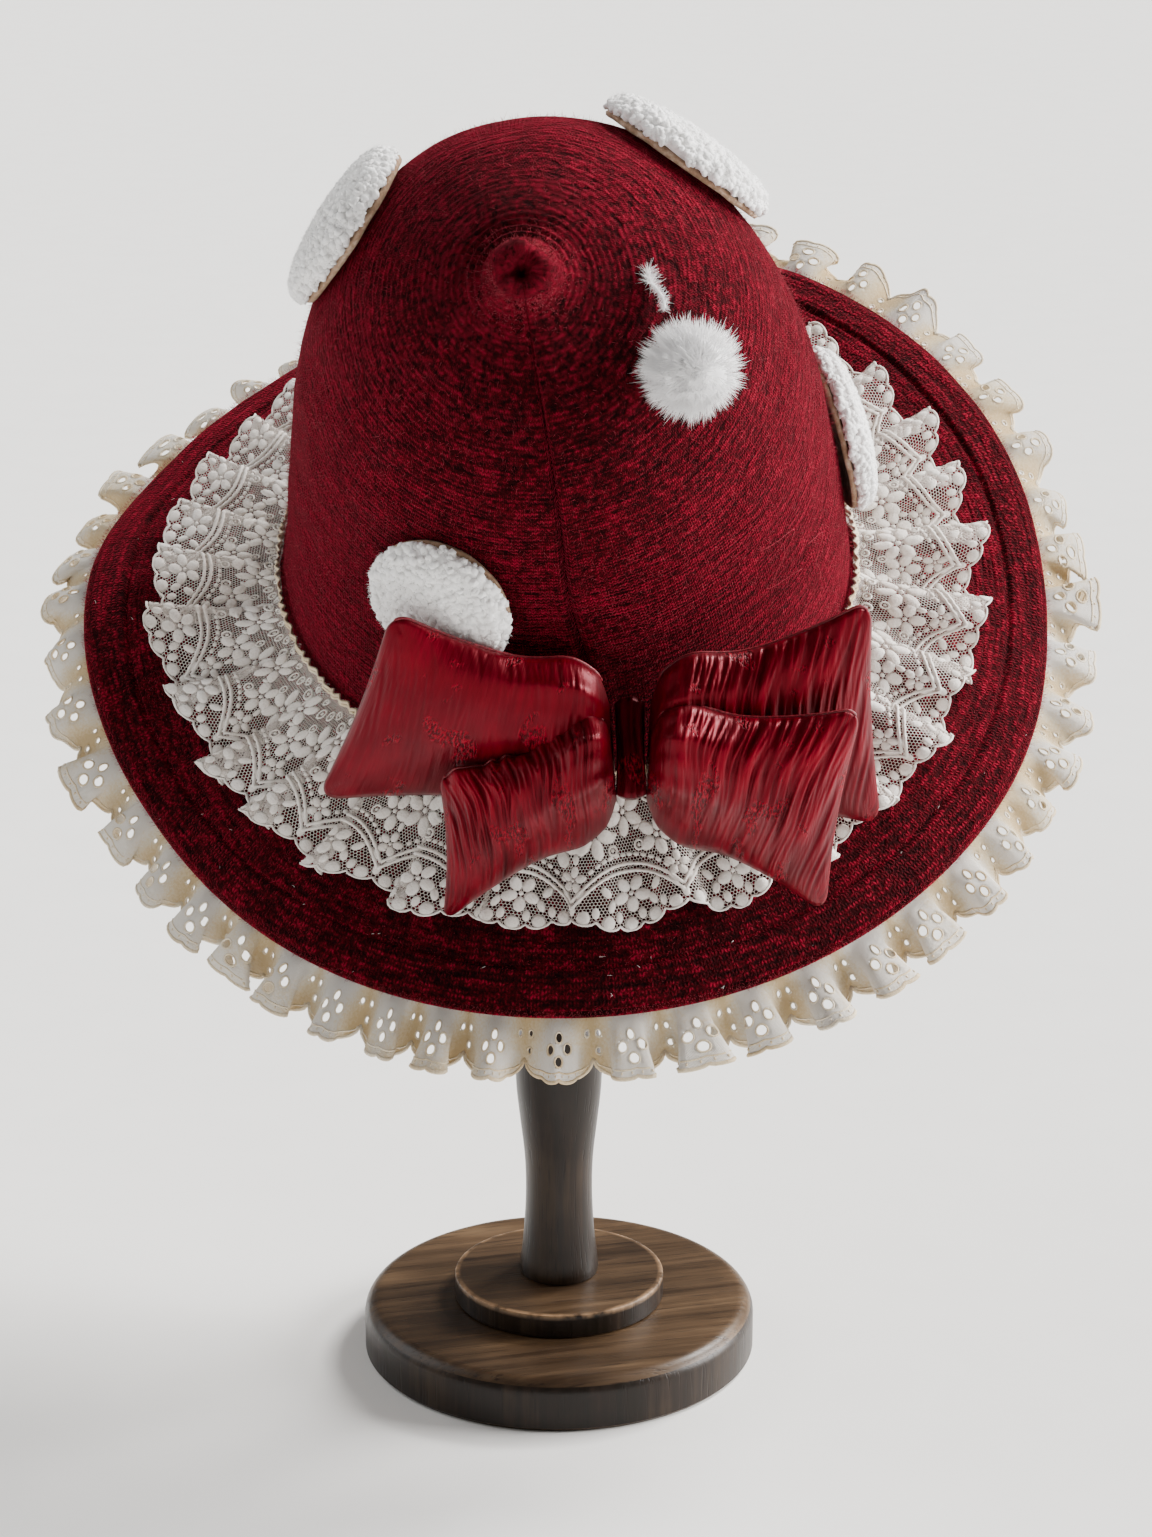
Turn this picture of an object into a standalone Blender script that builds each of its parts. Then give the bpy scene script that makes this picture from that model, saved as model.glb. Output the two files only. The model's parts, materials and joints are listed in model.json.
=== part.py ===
"""A knitted hat with a drooping brim, a lace ruffle, an eyelet trim, a padded bow, fleece spots
and a fur pompom, leaning forward on a turned wooden stand.

Metres, +Z up. The origin is the centre of the stand's foot, and the hat's front faces -Y.
The hat's pieces are modelled in a frame of their own, +Z along the crown, whose origin is the
centre of the edge where crown and brim meet. Azimuths are degrees round that axis: 0 is +X,
90 is the back and 270 is the front."""

from collections import namedtuple
from functools import lru_cache
from math import cos, pi, radians, sin

import bmesh
import bpy
from mathutils import Matrix, Vector
from mathutils.bvhtree import BVHTree

COLLECTION = "knitted_hat_on_stand"

# Clearance between pieces that touch on the real hat, and the step in which they are brought
# together.
GAP = 0.0003
SEAT_STEP = 0.001

# Wooden stand.
FOOT_RADIUS = 0.0725
FOOT_THICKNESS = 0.020
FOOT_ROUNDING = 0.006
FOOT_CHAMFER = 0.0015
RISER_RADIUS = 0.0388
RISER_THICKNESS = 0.009
RISER_CHAMFER = 0.0008
POST_RADIUS = 0.0146
HEAD_RADIUS = 0.054
HEAD_DEPTH = 0.048

# Turned post: share of its height, share of its radius.
Turning = namedtuple("Turning", "height radius")
POST_PROFILE = (
    Turning(0.000, 0.97),
    Turning(0.006, 1.00),
    Turning(0.030, 0.93),
    Turning(0.060, 0.87),
    Turning(0.095, 0.84),
    Turning(0.130, 0.87),
    Turning(0.170, 0.98),
    Turning(0.205, 1.07),
    Turning(0.235, 1.08),
    Turning(0.262, 1.00),
    Turning(0.285, 0.84),
    Turning(0.300, 0.77),
    Turning(0.600, 0.74),
    Turning(0.950, 0.74),
    Turning(1.000, 0.95),
)

# How the hat leans on the stand: the centre of the crown's edge, the lean towards the front.
HAT_SIDE = 0.003
HAT_BACK = 0.042
HAT_HEIGHT = 0.2915
HAT_CENTRE = Vector((HAT_SIDE, HAT_BACK, HAT_HEIGHT))
HAT_PITCH = radians(33)
HAT_ROLL = radians(-1)

# Crown, with a seam groove down its front.
CROWN_RADIUS = 0.1025
CROWN_LENGTH = 0.206
CROWN_WALL = 0.003
CROWN_SIDES = 32
SEAM_AZIMUTH = 276
SEAM_HALF_WIDTH = 1.6
SEAM_DEPTH = 0.0013

# Crown sections: share of the length, share of the radius, lean of the section to the front
# and to -X in degrees.
Section = namedtuple("Section", "height radius front side")
CROWN_SECTIONS = (
    Section(0.000, 1.000, 0, 0),
    Section(0.100, 0.975, 3, 1),
    Section(0.220, 0.945, 5, 2),
    Section(0.350, 0.908, 8, 3),
    Section(0.480, 0.862, 14, 4),
    Section(0.600, 0.798, 19, 4),
    Section(0.700, 0.722, 24, 5),
    Section(0.780, 0.628, 28, 5),
    Section(0.840, 0.515, 31, 5),
    Section(0.885, 0.385, 32, 5),
    Section(0.912, 0.270, 34, 4),
    Section(0.930, 0.185, 34, 3),
    Section(0.950, 0.125, 34, 2),
    Section(0.975, 0.098, 32, 0),
    Section(1.000, 0.090, 30, 0),
)

# The dimple that closes the crown's tip: share of the length, share of the radius.
TIP_END = (
    Turning(1.006, 0.065),
    Turning(0.990, 0.030),
)

# Brim: the cloth's width and wall, the round turn between crown and brim, the stitched hem.
BRIM_WIDTH = 0.084
BRIM_WALL = 0.0038
BRIM_TURN = 0.007
BRIM_SIDES = 60
HEM_WIDTH = 0.016
HEM_GROOVE = 0.0008

# Brim rows from the crown to the rim: the base they are measured from, the distance from it
# as a share of the brim's width.
BrimRow = namedtuple("BrimRow", "base distance sunk")
BRIM_ROWS = (
    BrimRow("crown", 0.00, 0),
    BrimRow("crown", 0.04, 0),
    BrimRow("crown", 0.09, 0),
    BrimRow("crown", 0.30, 0),
    BrimRow("crown", 0.56, 0),
    BrimRow("hem", -0.02, 0),
    BrimRow("hem", 0.00, 1),
    BrimRow("hem", 0.02, 0),
    BrimRow("hem", 0.19, 0),
)

# Brim sections: azimuth, degrees that the cloth slopes below level at the crown, degrees
# that it gains by the rim, share of the width.
Slope = namedtuple("Slope", "azimuth slope droop width")
BRIM_SLOPES = (
    Slope(0, 23, 0, 1.02),
    Slope(30, 7, 0, 1.01),
    Slope(60, 0, 0, 1.00),
    Slope(90, 10, 0, 1.00),
    Slope(120, 22, 0, 1.00),
    Slope(150, 22, 0, 1.00),
    Slope(180, 12, 0, 0.97),
    Slope(210, 33, 0, 1.00),
    Slope(240, 33, 0, 1.00),
    Slope(270, 31, 0, 0.99),
    Slope(300, 31, 0, 0.99),
    Slope(330, 25, 0, 1.00),
)

# Lace ruffle round the crown, on the brim.
LACE_WIDTH = 0.060
LACE_HEADING = 0.005
LACE_WALL = 0.0009
LACE_FOLDS = 32
LACE_FOLD_HEIGHT = 0.014
LACE_SCALLOP = 0.0022
LACE_LIFT = 0.0007
LACE_ROWS = (0.0, 0.34, 1.0)

# How the ruffle's folds stand round the hat: share of the fold height, share of a fold that
# the crest leans sideways.
Fold = namedtuple("Fold", "azimuth height lean")
LACE_FOLD_TABLE = (
    Fold(0, 1.00, 0.00),
    Fold(40, 0.95, 0.00),
    Fold(90, 0.80, 0.00),
    Fold(130, 0.70, 0.25),
    Fold(170, 0.50, 0.45),
    Fold(215, 0.45, 0.45),
    Fold(250, 0.40, 0.20),
    Fold(290, 0.45, 0.00),
    Fold(325, 0.85, 0.00),
)

# Eyelet trim under the rim.
TRIM_TUCK = 0.011
TRIM_REACH = 0.021
TRIM_WALL = 0.0009
TRIM_FOLDS = 32
TRIM_FOLD_HEIGHT = 0.011
TRIM_SCALLOP = 0.0024
TRIM_LIFT = 0.0014
TRIM_ROWS = (0.0, 0.34, 0.68, 1.0)
TRIM_HOLE_MARGIN = 0.0024
TRIM_HOLE_STEP = 3

# Degrees that the trim droops more than the brim by its edge.
Hang = namedtuple("Hang", "azimuth droop")
TRIM_DROOP = (Hang(0, 35), Hang(90, 20), Hang(180, 48), Hang(270, 5))

# Padded bow in front of the crown. It faces the front, tipped up from the hat's level.
BOW_REACH = 0.094
BOW_AZIMUTH = 282
BOW_HEIGHT = 0.06
BOW_FACING = radians(53)
BOW_SEAM = 0.0018
BOW_CUTS = 4

# Bow wings: corners outward of and above the knot, then how far the padding's middle plane
# lies forward of the knot's middle, and comes forward on its way out and on its way up, all
# as shares of the reach.
Wing = namedtuple("Wing", "name side top_out low_out top_in low_in layer out up")
BOW_WINGS = (
    Wing("upper_left", -1, (0.82, 0.47), (1.14, -0.16), (0.08, 0.20), (0.08, -0.16), -0.07, 0.02, 1.00),
    Wing("upper_right", 1, (0.85, 0.50), (0.92, -0.28), (0.08, 0.20), (0.08, -0.16), -0.08, -0.10, 0.90),
    Wing("lower_left", -1, (0.68, -0.08), (0.69, -0.61), (0.08, 0.09), (0.08, -0.20), 0.12, 0.02, 0.80),
    Wing("lower_right", 1, (0.81, 0.12), (0.70, -0.60), (0.08, 0.09), (0.08, -0.20), 0.12, 0.04, 0.80),
)
WING_FRONT = 0.14
WING_BACK = 0.09
KNOT_WIDTH = 0.0142
KNOT_HEIGHT = 0.034
KNOT_DEPTH = 0.024

# Fleece spots on a tan backing: place on the crown, radius as a share of the spot radius.
SPOT_RADIUS = 0.030
Spot = namedtuple("Spot", "name azimuth height share")
SPOTS = (
    Spot("front", 246, 0.50, 0.85),
    Spot("left", 150, 0.72, 1.00),
    Spot("top", 50, 0.68, 1.07),
    Spot("right", 14, 0.18, 1.00),
)
FLEECE_THICKNESS = 0.0085
BACKING_THICKNESS = 0.0020
BACKING_SHARE = 0.94
SPOT_SIDES = 16
SPOT_DISH = 0.10

# Fur pompom and its cord.
POMPOM_AZIMUTH = 330
POMPOM_HEIGHT = 0.850
POMPOM_CORE = 0.0125
POMPOM_LOCK = 0.0050
CORD_RADIUS = 0.0016
CORD_LENGTH = 0.013
CORD_BEND = 0.060
CORD_HEADING = radians(50)

HAT_FRAME = (
    Matrix.Translation(HAT_CENTRE)
    @ Matrix.Rotation(HAT_ROLL, 4, "Y")
    @ Matrix.Rotation(HAT_PITCH, 4, "X")
)


def between(rows, column, place, field, period=0):
    """A smooth curve through a table's column, at a place measured on another column."""
    places = [getattr(row, field) for row in rows]
    values = [getattr(row, column) for row in rows]
    if period:
        place = place % period
        places = [places[-1] - period] + places + [places[0] + period, places[1] + period]
        values = [values[-1]] + values + values[:2]
    index = max(i for i in range(len(places) - 1) if places[i] <= max(place, places[0]))
    span = places[index + 1] - places[index]
    share = (place - places[index]) / span

    def gradient(i):
        low, high = max(i - 1, 0), min(i + 1, len(places) - 1)
        return (values[high] - values[low]) / (places[high] - places[low]) * span

    if share > 1:
        return values[-1]
    square, cube = share * share, share**3
    return (
        (2 * cube - 3 * square + 1) * values[index]
        + (cube - 2 * square + share) * gradient(index)
        + (3 * square - 2 * cube) * values[index + 1]
        + (cube - square) * gradient(index + 1)
    )


def blend(start, end, share):
    return start + (end - start) * share


def crown_lean(height):
    """The section's own directions: to +X, to the back and along the crown."""
    front = radians(between(CROWN_SECTIONS, "front", height, "height"))
    side = radians(between(CROWN_SECTIONS, "side", height, "height"))
    along = Vector((-sin(side), -sin(front) * cos(side), cos(front) * cos(side)))
    across = Vector((cos(side), -sin(front) * sin(side), cos(front) * sin(side)))
    return across, along.cross(across), along


@lru_cache(maxsize=None)
def crown_section(height):
    """The centre and directions of the crown's section at a share of its length."""
    steps = 48
    centre = Vector()
    for step in range(steps):
        lean = crown_lean(height * (step + 0.5) / steps)
        centre += lean[2] * (CROWN_LENGTH * height / steps)
    return centre, crown_lean(height)


def crown_at(azimuth, height, radius=None, lift=0.0):
    """A point on the crown's outer surface."""
    if radius is None:
        radius = between(CROWN_SECTIONS, "radius", height, "height")
    centre, (across, back, _) = crown_section(height)
    reach = CROWN_RADIUS * radius + lift
    turn = radians(azimuth)
    return centre + across * (reach * cos(turn)) + back * (reach * sin(turn))


def crown_frame(azimuth, height):
    """A frame on the crown's surface: X round it, Y up it and Z out of it."""
    here = crown_at(azimuth, height)
    across = (crown_at(azimuth + 1, height) - crown_at(azimuth - 1, height)).normalized()
    rise = (crown_at(azimuth, height + 0.01) - crown_at(azimuth, height - 0.01)).normalized()
    out = across.cross(rise).normalized()
    turn = Matrix((across, out.cross(across), out)).transposed().to_4x4()
    return Matrix.Translation(here) @ turn


def brim_at(azimuth, along, lift=0.0, droop=0.0):
    """A point on the brim's upper surface, or lifted off it, at a distance from the crown's
    edge along the cloth. Before the edge it runs up the crown, past the rim it droops."""
    slope = radians(between(BRIM_SLOPES, "slope", azimuth, "azimuth", 360))
    gain = radians(between(BRIM_SLOPES, "droop", azimuth, "azimuth", 360))
    width = brim_width(azimuth)
    bend = BRIM_TURN * (pi / 2 - slope)
    if along <= 0:
        reach, height, down = CROWN_RADIUS, -along - GAP, pi / 2
    elif along < bend:
        down = pi / 2 - along / BRIM_TURN
        reach = CROWN_RADIUS + BRIM_TURN * (1 - sin(down))
        height = -GAP - BRIM_TURN * cos(down)
    else:
        flat = min(along, width) - bend
        past = max(along - width, 0.0)
        middle = slope + gain * flat / width / 2
        down = slope + gain * flat / width
        reach = CROWN_RADIUS + BRIM_TURN * (1 - sin(slope)) + flat * cos(middle)
        height = -GAP - BRIM_TURN * cos(slope) - flat * sin(middle)
        down += radians(droop) * past / TRIM_REACH / 2
        reach += past * cos(down)
        height -= past * sin(down)
    reach += lift * sin(down)
    height += lift * cos(down)
    turn = radians(azimuth)
    return Vector((reach * cos(turn), reach * sin(turn), height))


def brim_width(azimuth):
    return BRIM_WIDTH * between(BRIM_SLOPES, "width", azimuth, "azimuth", 360)


def fold_azimuth(share, wander):
    """Azimuth of a share of the ruffle's folds, which aren't all alike."""
    turn = 2 * pi * share
    sway = sin(3 * turn + 0.7) + 0.7 * sin(5 * turn + 2.1) + 0.5 * sin(9 * turn)
    return 360 * share + wander * sway


def fold_height(share):
    turn = 2 * pi * share
    return 1 + 0.16 * sin(5 * turn + 1) + 0.13 * sin(11 * turn + 2)


def lace_at(column, row):
    """A point on the lace ruffle's lower face: four columns a fold, rows out from the crown."""
    share = column / (4 * LACE_FOLDS)
    spread = LACE_ROWS[row]
    azimuth = fold_azimuth(share, 1.3)
    crest = (0.5, 1.0, 0.5, 0.0)[column % 4]
    tall = between(LACE_FOLD_TABLE, "height", azimuth, "azimuth", 360) * fold_height(share)
    lean = between(LACE_FOLD_TABLE, "lean", azimuth, "azimuth", 360)
    lift = LACE_LIFT + LACE_FOLD_HEIGHT * tall * crest * spread
    azimuth += lean * crest * spread * 360 / LACE_FOLDS
    along = spread * LACE_WIDTH - LACE_HEADING
    if row == len(LACE_ROWS) - 1:
        along += LACE_SCALLOP * (1 if column % 2 else -1)
    return brim_at(azimuth, along, lift)


def trim_at(column, row):
    """A point on the eyelet trim's upper face: four columns a fold, rows out from the tuck."""
    share = column / (4 * TRIM_FOLDS)
    azimuth = fold_azimuth(share + 0.13, 0.9) - 360 * 0.13
    past = blend(-TRIM_TUCK, TRIM_REACH, TRIM_ROWS[row])
    free = max(past, 0.0) / TRIM_REACH
    wave = (0.0, 1.0, 0.0, -1.0)[column % 4] * fold_height(share)
    lift = TRIM_FOLD_HEIGHT * 0.5 * wave * free
    lift -= blend(BRIM_WALL + TRIM_LIFT, BRIM_WALL, free)
    if row == len(TRIM_ROWS) - 1:
        past += TRIM_SCALLOP * (1 if column % 2 else -1)
    droop = between(TRIM_DROOP, "droop", azimuth, "azimuth", 360)
    return brim_at(azimuth, brim_width(azimuth) + past, lift, droop)


def paint(name, colour, roughness, metallic=0.0):
    look = bpy.data.materials.new(name)
    look.use_nodes = True
    shader = look.node_tree.nodes["Principled BSDF"]
    shader.inputs["Base Color"].default_value = (*colour, 1.0)
    shader.inputs["Roughness"].default_value = roughness
    shader.inputs["Metallic"].default_value = metallic
    look.diffuse_color = (*colour, 1.0)
    return look


def add_object(name, mesh, look, parent=None):
    mesh.materials.append(look)
    item = bpy.data.objects.new(name, mesh)
    bpy.data.collections[COLLECTION].objects.link(item)
    item.parent = parent
    return item


def mesh_of(name, bm, crease=50):
    mesh = bpy.data.meshes.new(name)
    bm.to_mesh(mesh)
    bm.free()
    mesh.shade_smooth()
    mesh.set_sharp_from_angle(angle=radians(crease))
    return mesh


def mapped_grid(columns, rows, place):
    """A grid of cells whose corners lie at place(column, row), and the cells by number."""
    bm = bmesh.new()
    bmesh.ops.create_grid(bm, x_segments=columns, y_segments=rows, size=0.5)
    cells = {}
    for face in bm.faces:
        middle = face.calc_center_median()
        cell = int((middle.x + 0.5) * columns), int((middle.y + 0.5) * rows)
        cells[cell] = face
    for vert in bm.verts:
        column = round((vert.co.x + 0.5) * columns)
        row = round((vert.co.y + 0.5) * rows)
        vert.co = place(column % columns, row)
    bmesh.ops.remove_doubles(bm, verts=bm.verts, dist=1e-6)
    return bm, cells


def add_wall(item, wall, side):
    """Gives an open surface its thickness, to the side its faces look to (1) or away (-1)."""
    shell = item.modifiers.new("wall", "SOLIDIFY")
    shell.thickness = wall
    shell.offset = side
    shell.use_even_offset = True


def turned_mesh(name, profile, crease=50):
    """The profile of a turned piece, from its top down its outer side to its underside."""
    bm = bmesh.new()
    points = [bm.verts.new((radius, 0, height)) for radius, height in profile]
    for start, end in zip(points, points[1:]):
        bm.edges.new((start, end))
    return mesh_of(name, bm, crease)


def add_turned(name, profile, sides, look, parent=None):
    item = add_object(name, turned_mesh(name, profile), look, parent)
    turn = item.modifiers.new("turn", "SCREW")
    turn.angle = 2 * pi
    turn.steps = sides
    turn.render_steps = sides
    turn.use_merge_vertices = True
    turn.merge_threshold = 0.00005
    turn.use_smooth_shade = True
    return item


def solid_of(item, frame=None):
    """A piece's finished corners and triangles, and a tree of them, in its parent's frame."""
    frame = item.matrix_basis if frame is None else frame
    finished = item.evaluated_get(bpy.context.evaluated_depsgraph_get())
    mesh = finished.to_mesh()
    mesh.calc_loop_triangles()
    corners = [frame @ vert.co for vert in mesh.vertices]
    triangles = [tuple(triangle.vertices) for triangle in mesh.loop_triangles]
    finished.to_mesh_clear()
    return corners, triangles, BVHTree.FromPolygons(corners, triangles)


def is_clear(moved, others, gap):
    corners, _, tree = moved
    for other_corners, _, other_tree in others:
        if tree.overlap(other_tree):
            return False
        if any(other_tree.find_nearest(corner, gap)[0] for corner in corners):
            return False
        if any(tree.find_nearest(corner, gap)[0] for corner in other_corners):
            return False
    return True


def seat(items, others, direction, reach, gap=GAP):
    """Brings pieces back together from a reach away, until one of them meets the others."""
    starts = [item.location.copy() for item in items]
    solids = [solid_of(item) for item in items]

    def clear_at(distance):
        for corners, triangles, _ in solids:
            shifted = [corner + direction * distance for corner in corners]
            tree = BVHTree.FromPolygons(shifted, triangles)
            if not is_clear((shifted, triangles, tree), others, gap):
                return False
        return True

    step = SEAT_STEP
    far = reach
    while far > -reach and clear_at(far - step):
        far -= step
    near = far - step
    for _ in range(6):
        middle = (near + far) / 2
        if clear_at(middle):
            far = middle
        else:
            near = middle
    for item, start in zip(items, starts):
        item.location = start + direction * far
    return [solid_of(item) for item in items]


def build_crown(look, hat):
    rows = [(section.height, section.radius) for section in CROWN_SECTIONS]
    rows += [(turning.height, turning.radius) for turning in TIP_END]
    rows.append((TIP_END[-1].height, 0.0))
    spread = (360 - 2 * SEAM_HALF_WIDTH) / (CROWN_SIDES - 2)

    def place(column, row):
        height, radius = rows[row]
        azimuth = SEAM_AZIMUTH
        if column:
            azimuth += SEAM_HALF_WIDTH + spread * (column - 1)
        sunk = 0.0 if column else SEAM_DEPTH * min(1.0, radius / 0.3)
        return crown_at(azimuth, height, radius, -sunk)

    bm, _ = mapped_grid(CROWN_SIDES, len(rows) - 1, place)
    crown = add_object("crown", mesh_of("crown", bm), look, hat)
    add_wall(crown, CROWN_WALL, -1)
    return crown


def build_brim(look, hat):
    def place(column, row):
        azimuth = 360 * column / BRIM_SIDES
        width = brim_width(azimuth)
        base = {"crown": 0.0, "hem": width - HEM_WIDTH}[BRIM_ROWS[row].base]
        along = base + BRIM_ROWS[row].distance * BRIM_WIDTH
        if row == len(BRIM_ROWS) - 1:
            along = width
        return brim_at(azimuth, along, -HEM_GROOVE * BRIM_ROWS[row].sunk)

    bm, _ = mapped_grid(BRIM_SIDES, len(BRIM_ROWS) - 1, place)
    brim = add_object("brim", mesh_of("brim", bm), look, hat)
    add_wall(brim, BRIM_WALL, 1)
    return brim


def build_lace(look, hat):
    bm, _ = mapped_grid(4 * LACE_FOLDS, len(LACE_ROWS) - 1, lace_at)
    lace = add_object("lace_ruffle", mesh_of("lace_ruffle", bm, 180), look, hat)
    add_wall(lace, LACE_WALL, -1)
    return lace


def build_trim(look, hat):
    columns = 4 * TRIM_FOLDS
    bm, cells = mapped_grid(columns, len(TRIM_ROWS) - 1, trim_at)
    holes = [cells[column, 1] for column in range(0, columns, TRIM_HOLE_STEP)]
    bmesh.ops.inset_individual(bm, faces=holes, thickness=TRIM_HOLE_MARGIN, use_even_offset=True)
    bmesh.ops.delete(bm, geom=holes, context="FACES")
    trim = add_object("eyelet_trim", mesh_of("eyelet_trim", bm, 180), look, hat)
    add_wall(trim, TRIM_WALL, 1)
    return trim


def bow_frame():
    """X to the right, Y up the bow and Z out of its face, from the middle of the knot."""
    right = Vector((1, 0, 0))
    up = Vector((0, sin(BOW_FACING), cos(BOW_FACING)))
    place = crown_at(BOW_AZIMUTH, BOW_HEIGHT)
    turn = Matrix((right, up, right.cross(up))).transposed().to_4x4()
    return Matrix.Translation(place) @ turn


def build_wing(wing, look, hat):
    bm = bmesh.new()
    bmesh.ops.create_cube(bm, size=1)
    sides = [edge for edge in bm.edges if abs(edge.verts[0].co.z - edge.verts[1].co.z) < 0.5]
    bmesh.ops.subdivide_edges(bm, edges=sides, cuts=BOW_CUTS, use_grid_fill=True)
    for vert in bm.verts:
        out, rise = vert.co.x + 0.5, vert.co.y + 0.5
        inner = [blend(low, top, rise) for low, top in zip(wing.low_in, wing.top_in)]
        outer = [blend(low, top, rise) for low, top in zip(wing.low_out, wing.top_out)]
        across = wing.side * blend(inner[0], outer[0], out)
        up = blend(inner[1], outer[1], out)
        puff = (max(sin(pi * out), 0.0) * max(sin(pi * rise), 0.0)) ** 0.6
        face = 1 if vert.co.z > 0 else -1
        depth = (WING_FRONT if face > 0 else -WING_BACK) * puff
        depth += wing.layer + wing.out * out + wing.up * up
        seam = face * BOW_SEAM / 2
        vert.co = (across * BOW_REACH, up * BOW_REACH, depth * BOW_REACH + seam)
    bmesh.ops.recalc_face_normals(bm, faces=bm.faces)
    name = "bow_wing_" + wing.name
    item = add_object(name, mesh_of(name, bm), look, hat)
    item.matrix_basis = bow_frame()
    return item


def build_knot(look, hat):
    bm = bmesh.new()
    size = Matrix.Diagonal((KNOT_WIDTH, KNOT_HEIGHT, KNOT_DEPTH, 1))
    bmesh.ops.create_cube(bm, size=1, matrix=size)
    knot = add_object("bow_knot", mesh_of("bow_knot", bm), look, hat)
    rounding = knot.modifiers.new("rounding", "BEVEL")
    rounding.width = KNOT_WIDTH * 0.3
    rounding.segments = 3
    knot.matrix_basis = bow_frame()
    return knot


def build_bow(look, hat, behind):
    """Wings and knot, pressed together against what lies behind them."""
    pieces = [build_wing(wing, look, hat) for wing in BOW_WINGS]
    pieces.append(build_knot(look, hat))
    seat(pieces, behind, bow_frame().col[2].to_3d(), BOW_REACH)


def build_spot(spot, fleece, backing, hat, crown):
    """A dished disc of fleece on its backing, whose middle meets the crown."""
    frame = crown_frame(spot.azimuth, spot.height)
    size = SPOT_RADIUS * spot.share
    dish = SPOT_DISH * size

    def profile(rows, radius, thickness):
        bowl = [(share * radius, thickness * level - dish * share * share) for share, level in rows]
        return bowl

    back_rows = ((0, 0), (0.5, 0), (1, 0), (1, -1), (0.5, -1), (0, -1))
    front_rows = ((0, 1), (0.4, 0.99), (0.75, 0.92), (0.93, 0.72), (1, 0.42), (0.97, 0.1))
    front_rows += ((0.9, 0), (0.5, 0), (0, 0))
    back_profile = profile(back_rows, size * BACKING_SHARE, BACKING_THICKNESS)
    base = add_turned("spot_backing_" + spot.name, back_profile, SPOT_SIDES, backing, hat)
    base.matrix_basis = frame
    out = frame.col[2].to_3d()
    seated = seat([base], [crown], out, size)
    front_profile = profile(front_rows, size, FLEECE_THICKNESS)
    cover = add_turned("spot_fleece_" + spot.name, front_profile, SPOT_SIDES, fleece, hat)
    cover.matrix_basis = base.matrix_basis
    return seated + seat([cover], [crown] + seated, out, size)


def build_pompom(fur, hat, crown):
    bm = bmesh.new()
    bmesh.ops.create_icosphere(bm, subdivisions=2, radius=POMPOM_CORE)
    bmesh.ops.poke(bm, faces=bm.faces, offset=POMPOM_LOCK)
    pompom = add_object("pompom", mesh_of("pompom", bm, 20), fur, hat)
    frame = crown_frame(POMPOM_AZIMUTH, POMPOM_HEIGHT)
    pompom.matrix_basis = frame
    out = frame.col[2].to_3d()
    reach = 3 * POMPOM_CORE
    seated = seat([pompom], [crown], out, reach)
    route = bpy.data.curves.new("pompom_cord", "CURVE")
    route.dimensions = "3D"
    route.bevel_depth = CORD_RADIUS
    route.bevel_resolution = 1
    route.use_fill_caps = True
    line = route.splines.new("POLY")
    points = 6
    line.points.add(points - 1)
    for index, point in enumerate(line.points):
        away = POMPOM_CORE + POMPOM_LOCK + CORD_LENGTH * index / (points - 1)
        sag = away * away / (2 * CORD_BEND)
        point.co = (away * sin(CORD_HEADING), away * cos(CORD_HEADING), -sag, 1)
    cord = add_object("pompom_cord", route, fur, hat)
    cord.matrix_basis = frame
    seat([cord], [crown] + seated, out, reach)


def build_stand(wood, crown):
    """Foot, riser, post and the head that fills the crown's top."""
    top = FOOT_THICKNESS
    edge = FOOT_RADIUS - FOOT_ROUNDING
    corner = top - FOOT_ROUNDING
    quarter = [pi / 2 * step / 4 for step in range(5)]
    foot = [(0, top)]
    foot += [(edge + FOOT_ROUNDING * sin(a), corner + FOOT_ROUNDING * cos(a)) for a in quarter]
    foot += [(FOOT_RADIUS, FOOT_CHAMFER), (FOOT_RADIUS - FOOT_CHAMFER, 0), (0, 0)]
    add_turned("stand_base", foot, 36, wood)

    low = top + GAP
    high = low + RISER_THICKNESS
    bevelled = RISER_RADIUS - RISER_CHAMFER
    riser = [(0, high), (bevelled, high), (RISER_RADIUS, high - RISER_CHAMFER)]
    riser += [(RISER_RADIUS, low), (0, low)]
    add_turned("stand_riser", riser, 30, wood)

    head = [(0, HEAD_DEPTH)]
    for step in range(1, 7):
        a = pi / 2 * step / 6
        head.append((HEAD_RADIUS * sin(a), blend(HEAD_DEPTH * 0.2, HEAD_DEPTH, cos(a))))
    head += [(HEAD_RADIUS, HEAD_DEPTH * 0.06), (HEAD_RADIUS - HEAD_DEPTH * 0.06, 0), (0, 0)]
    dome = add_turned("stand_head", head, 16, wood)
    dome.location = (0, 0, HAT_CENTRE.z + CROWN_LENGTH)
    seat([dome], [crown], Vector((0, 0, -1)), CROWN_LENGTH)

    foot_height = high + GAP
    post_height = dome.location.z - GAP - foot_height
    post = [(0, foot_height + post_height)]
    for turning in reversed(POST_PROFILE):
        height = foot_height + turning.height * post_height
        post.append((POST_RADIUS * turning.radius, height))
    post.append((0, foot_height))
    add_turned("stand_post", post, 16, wood)


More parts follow.
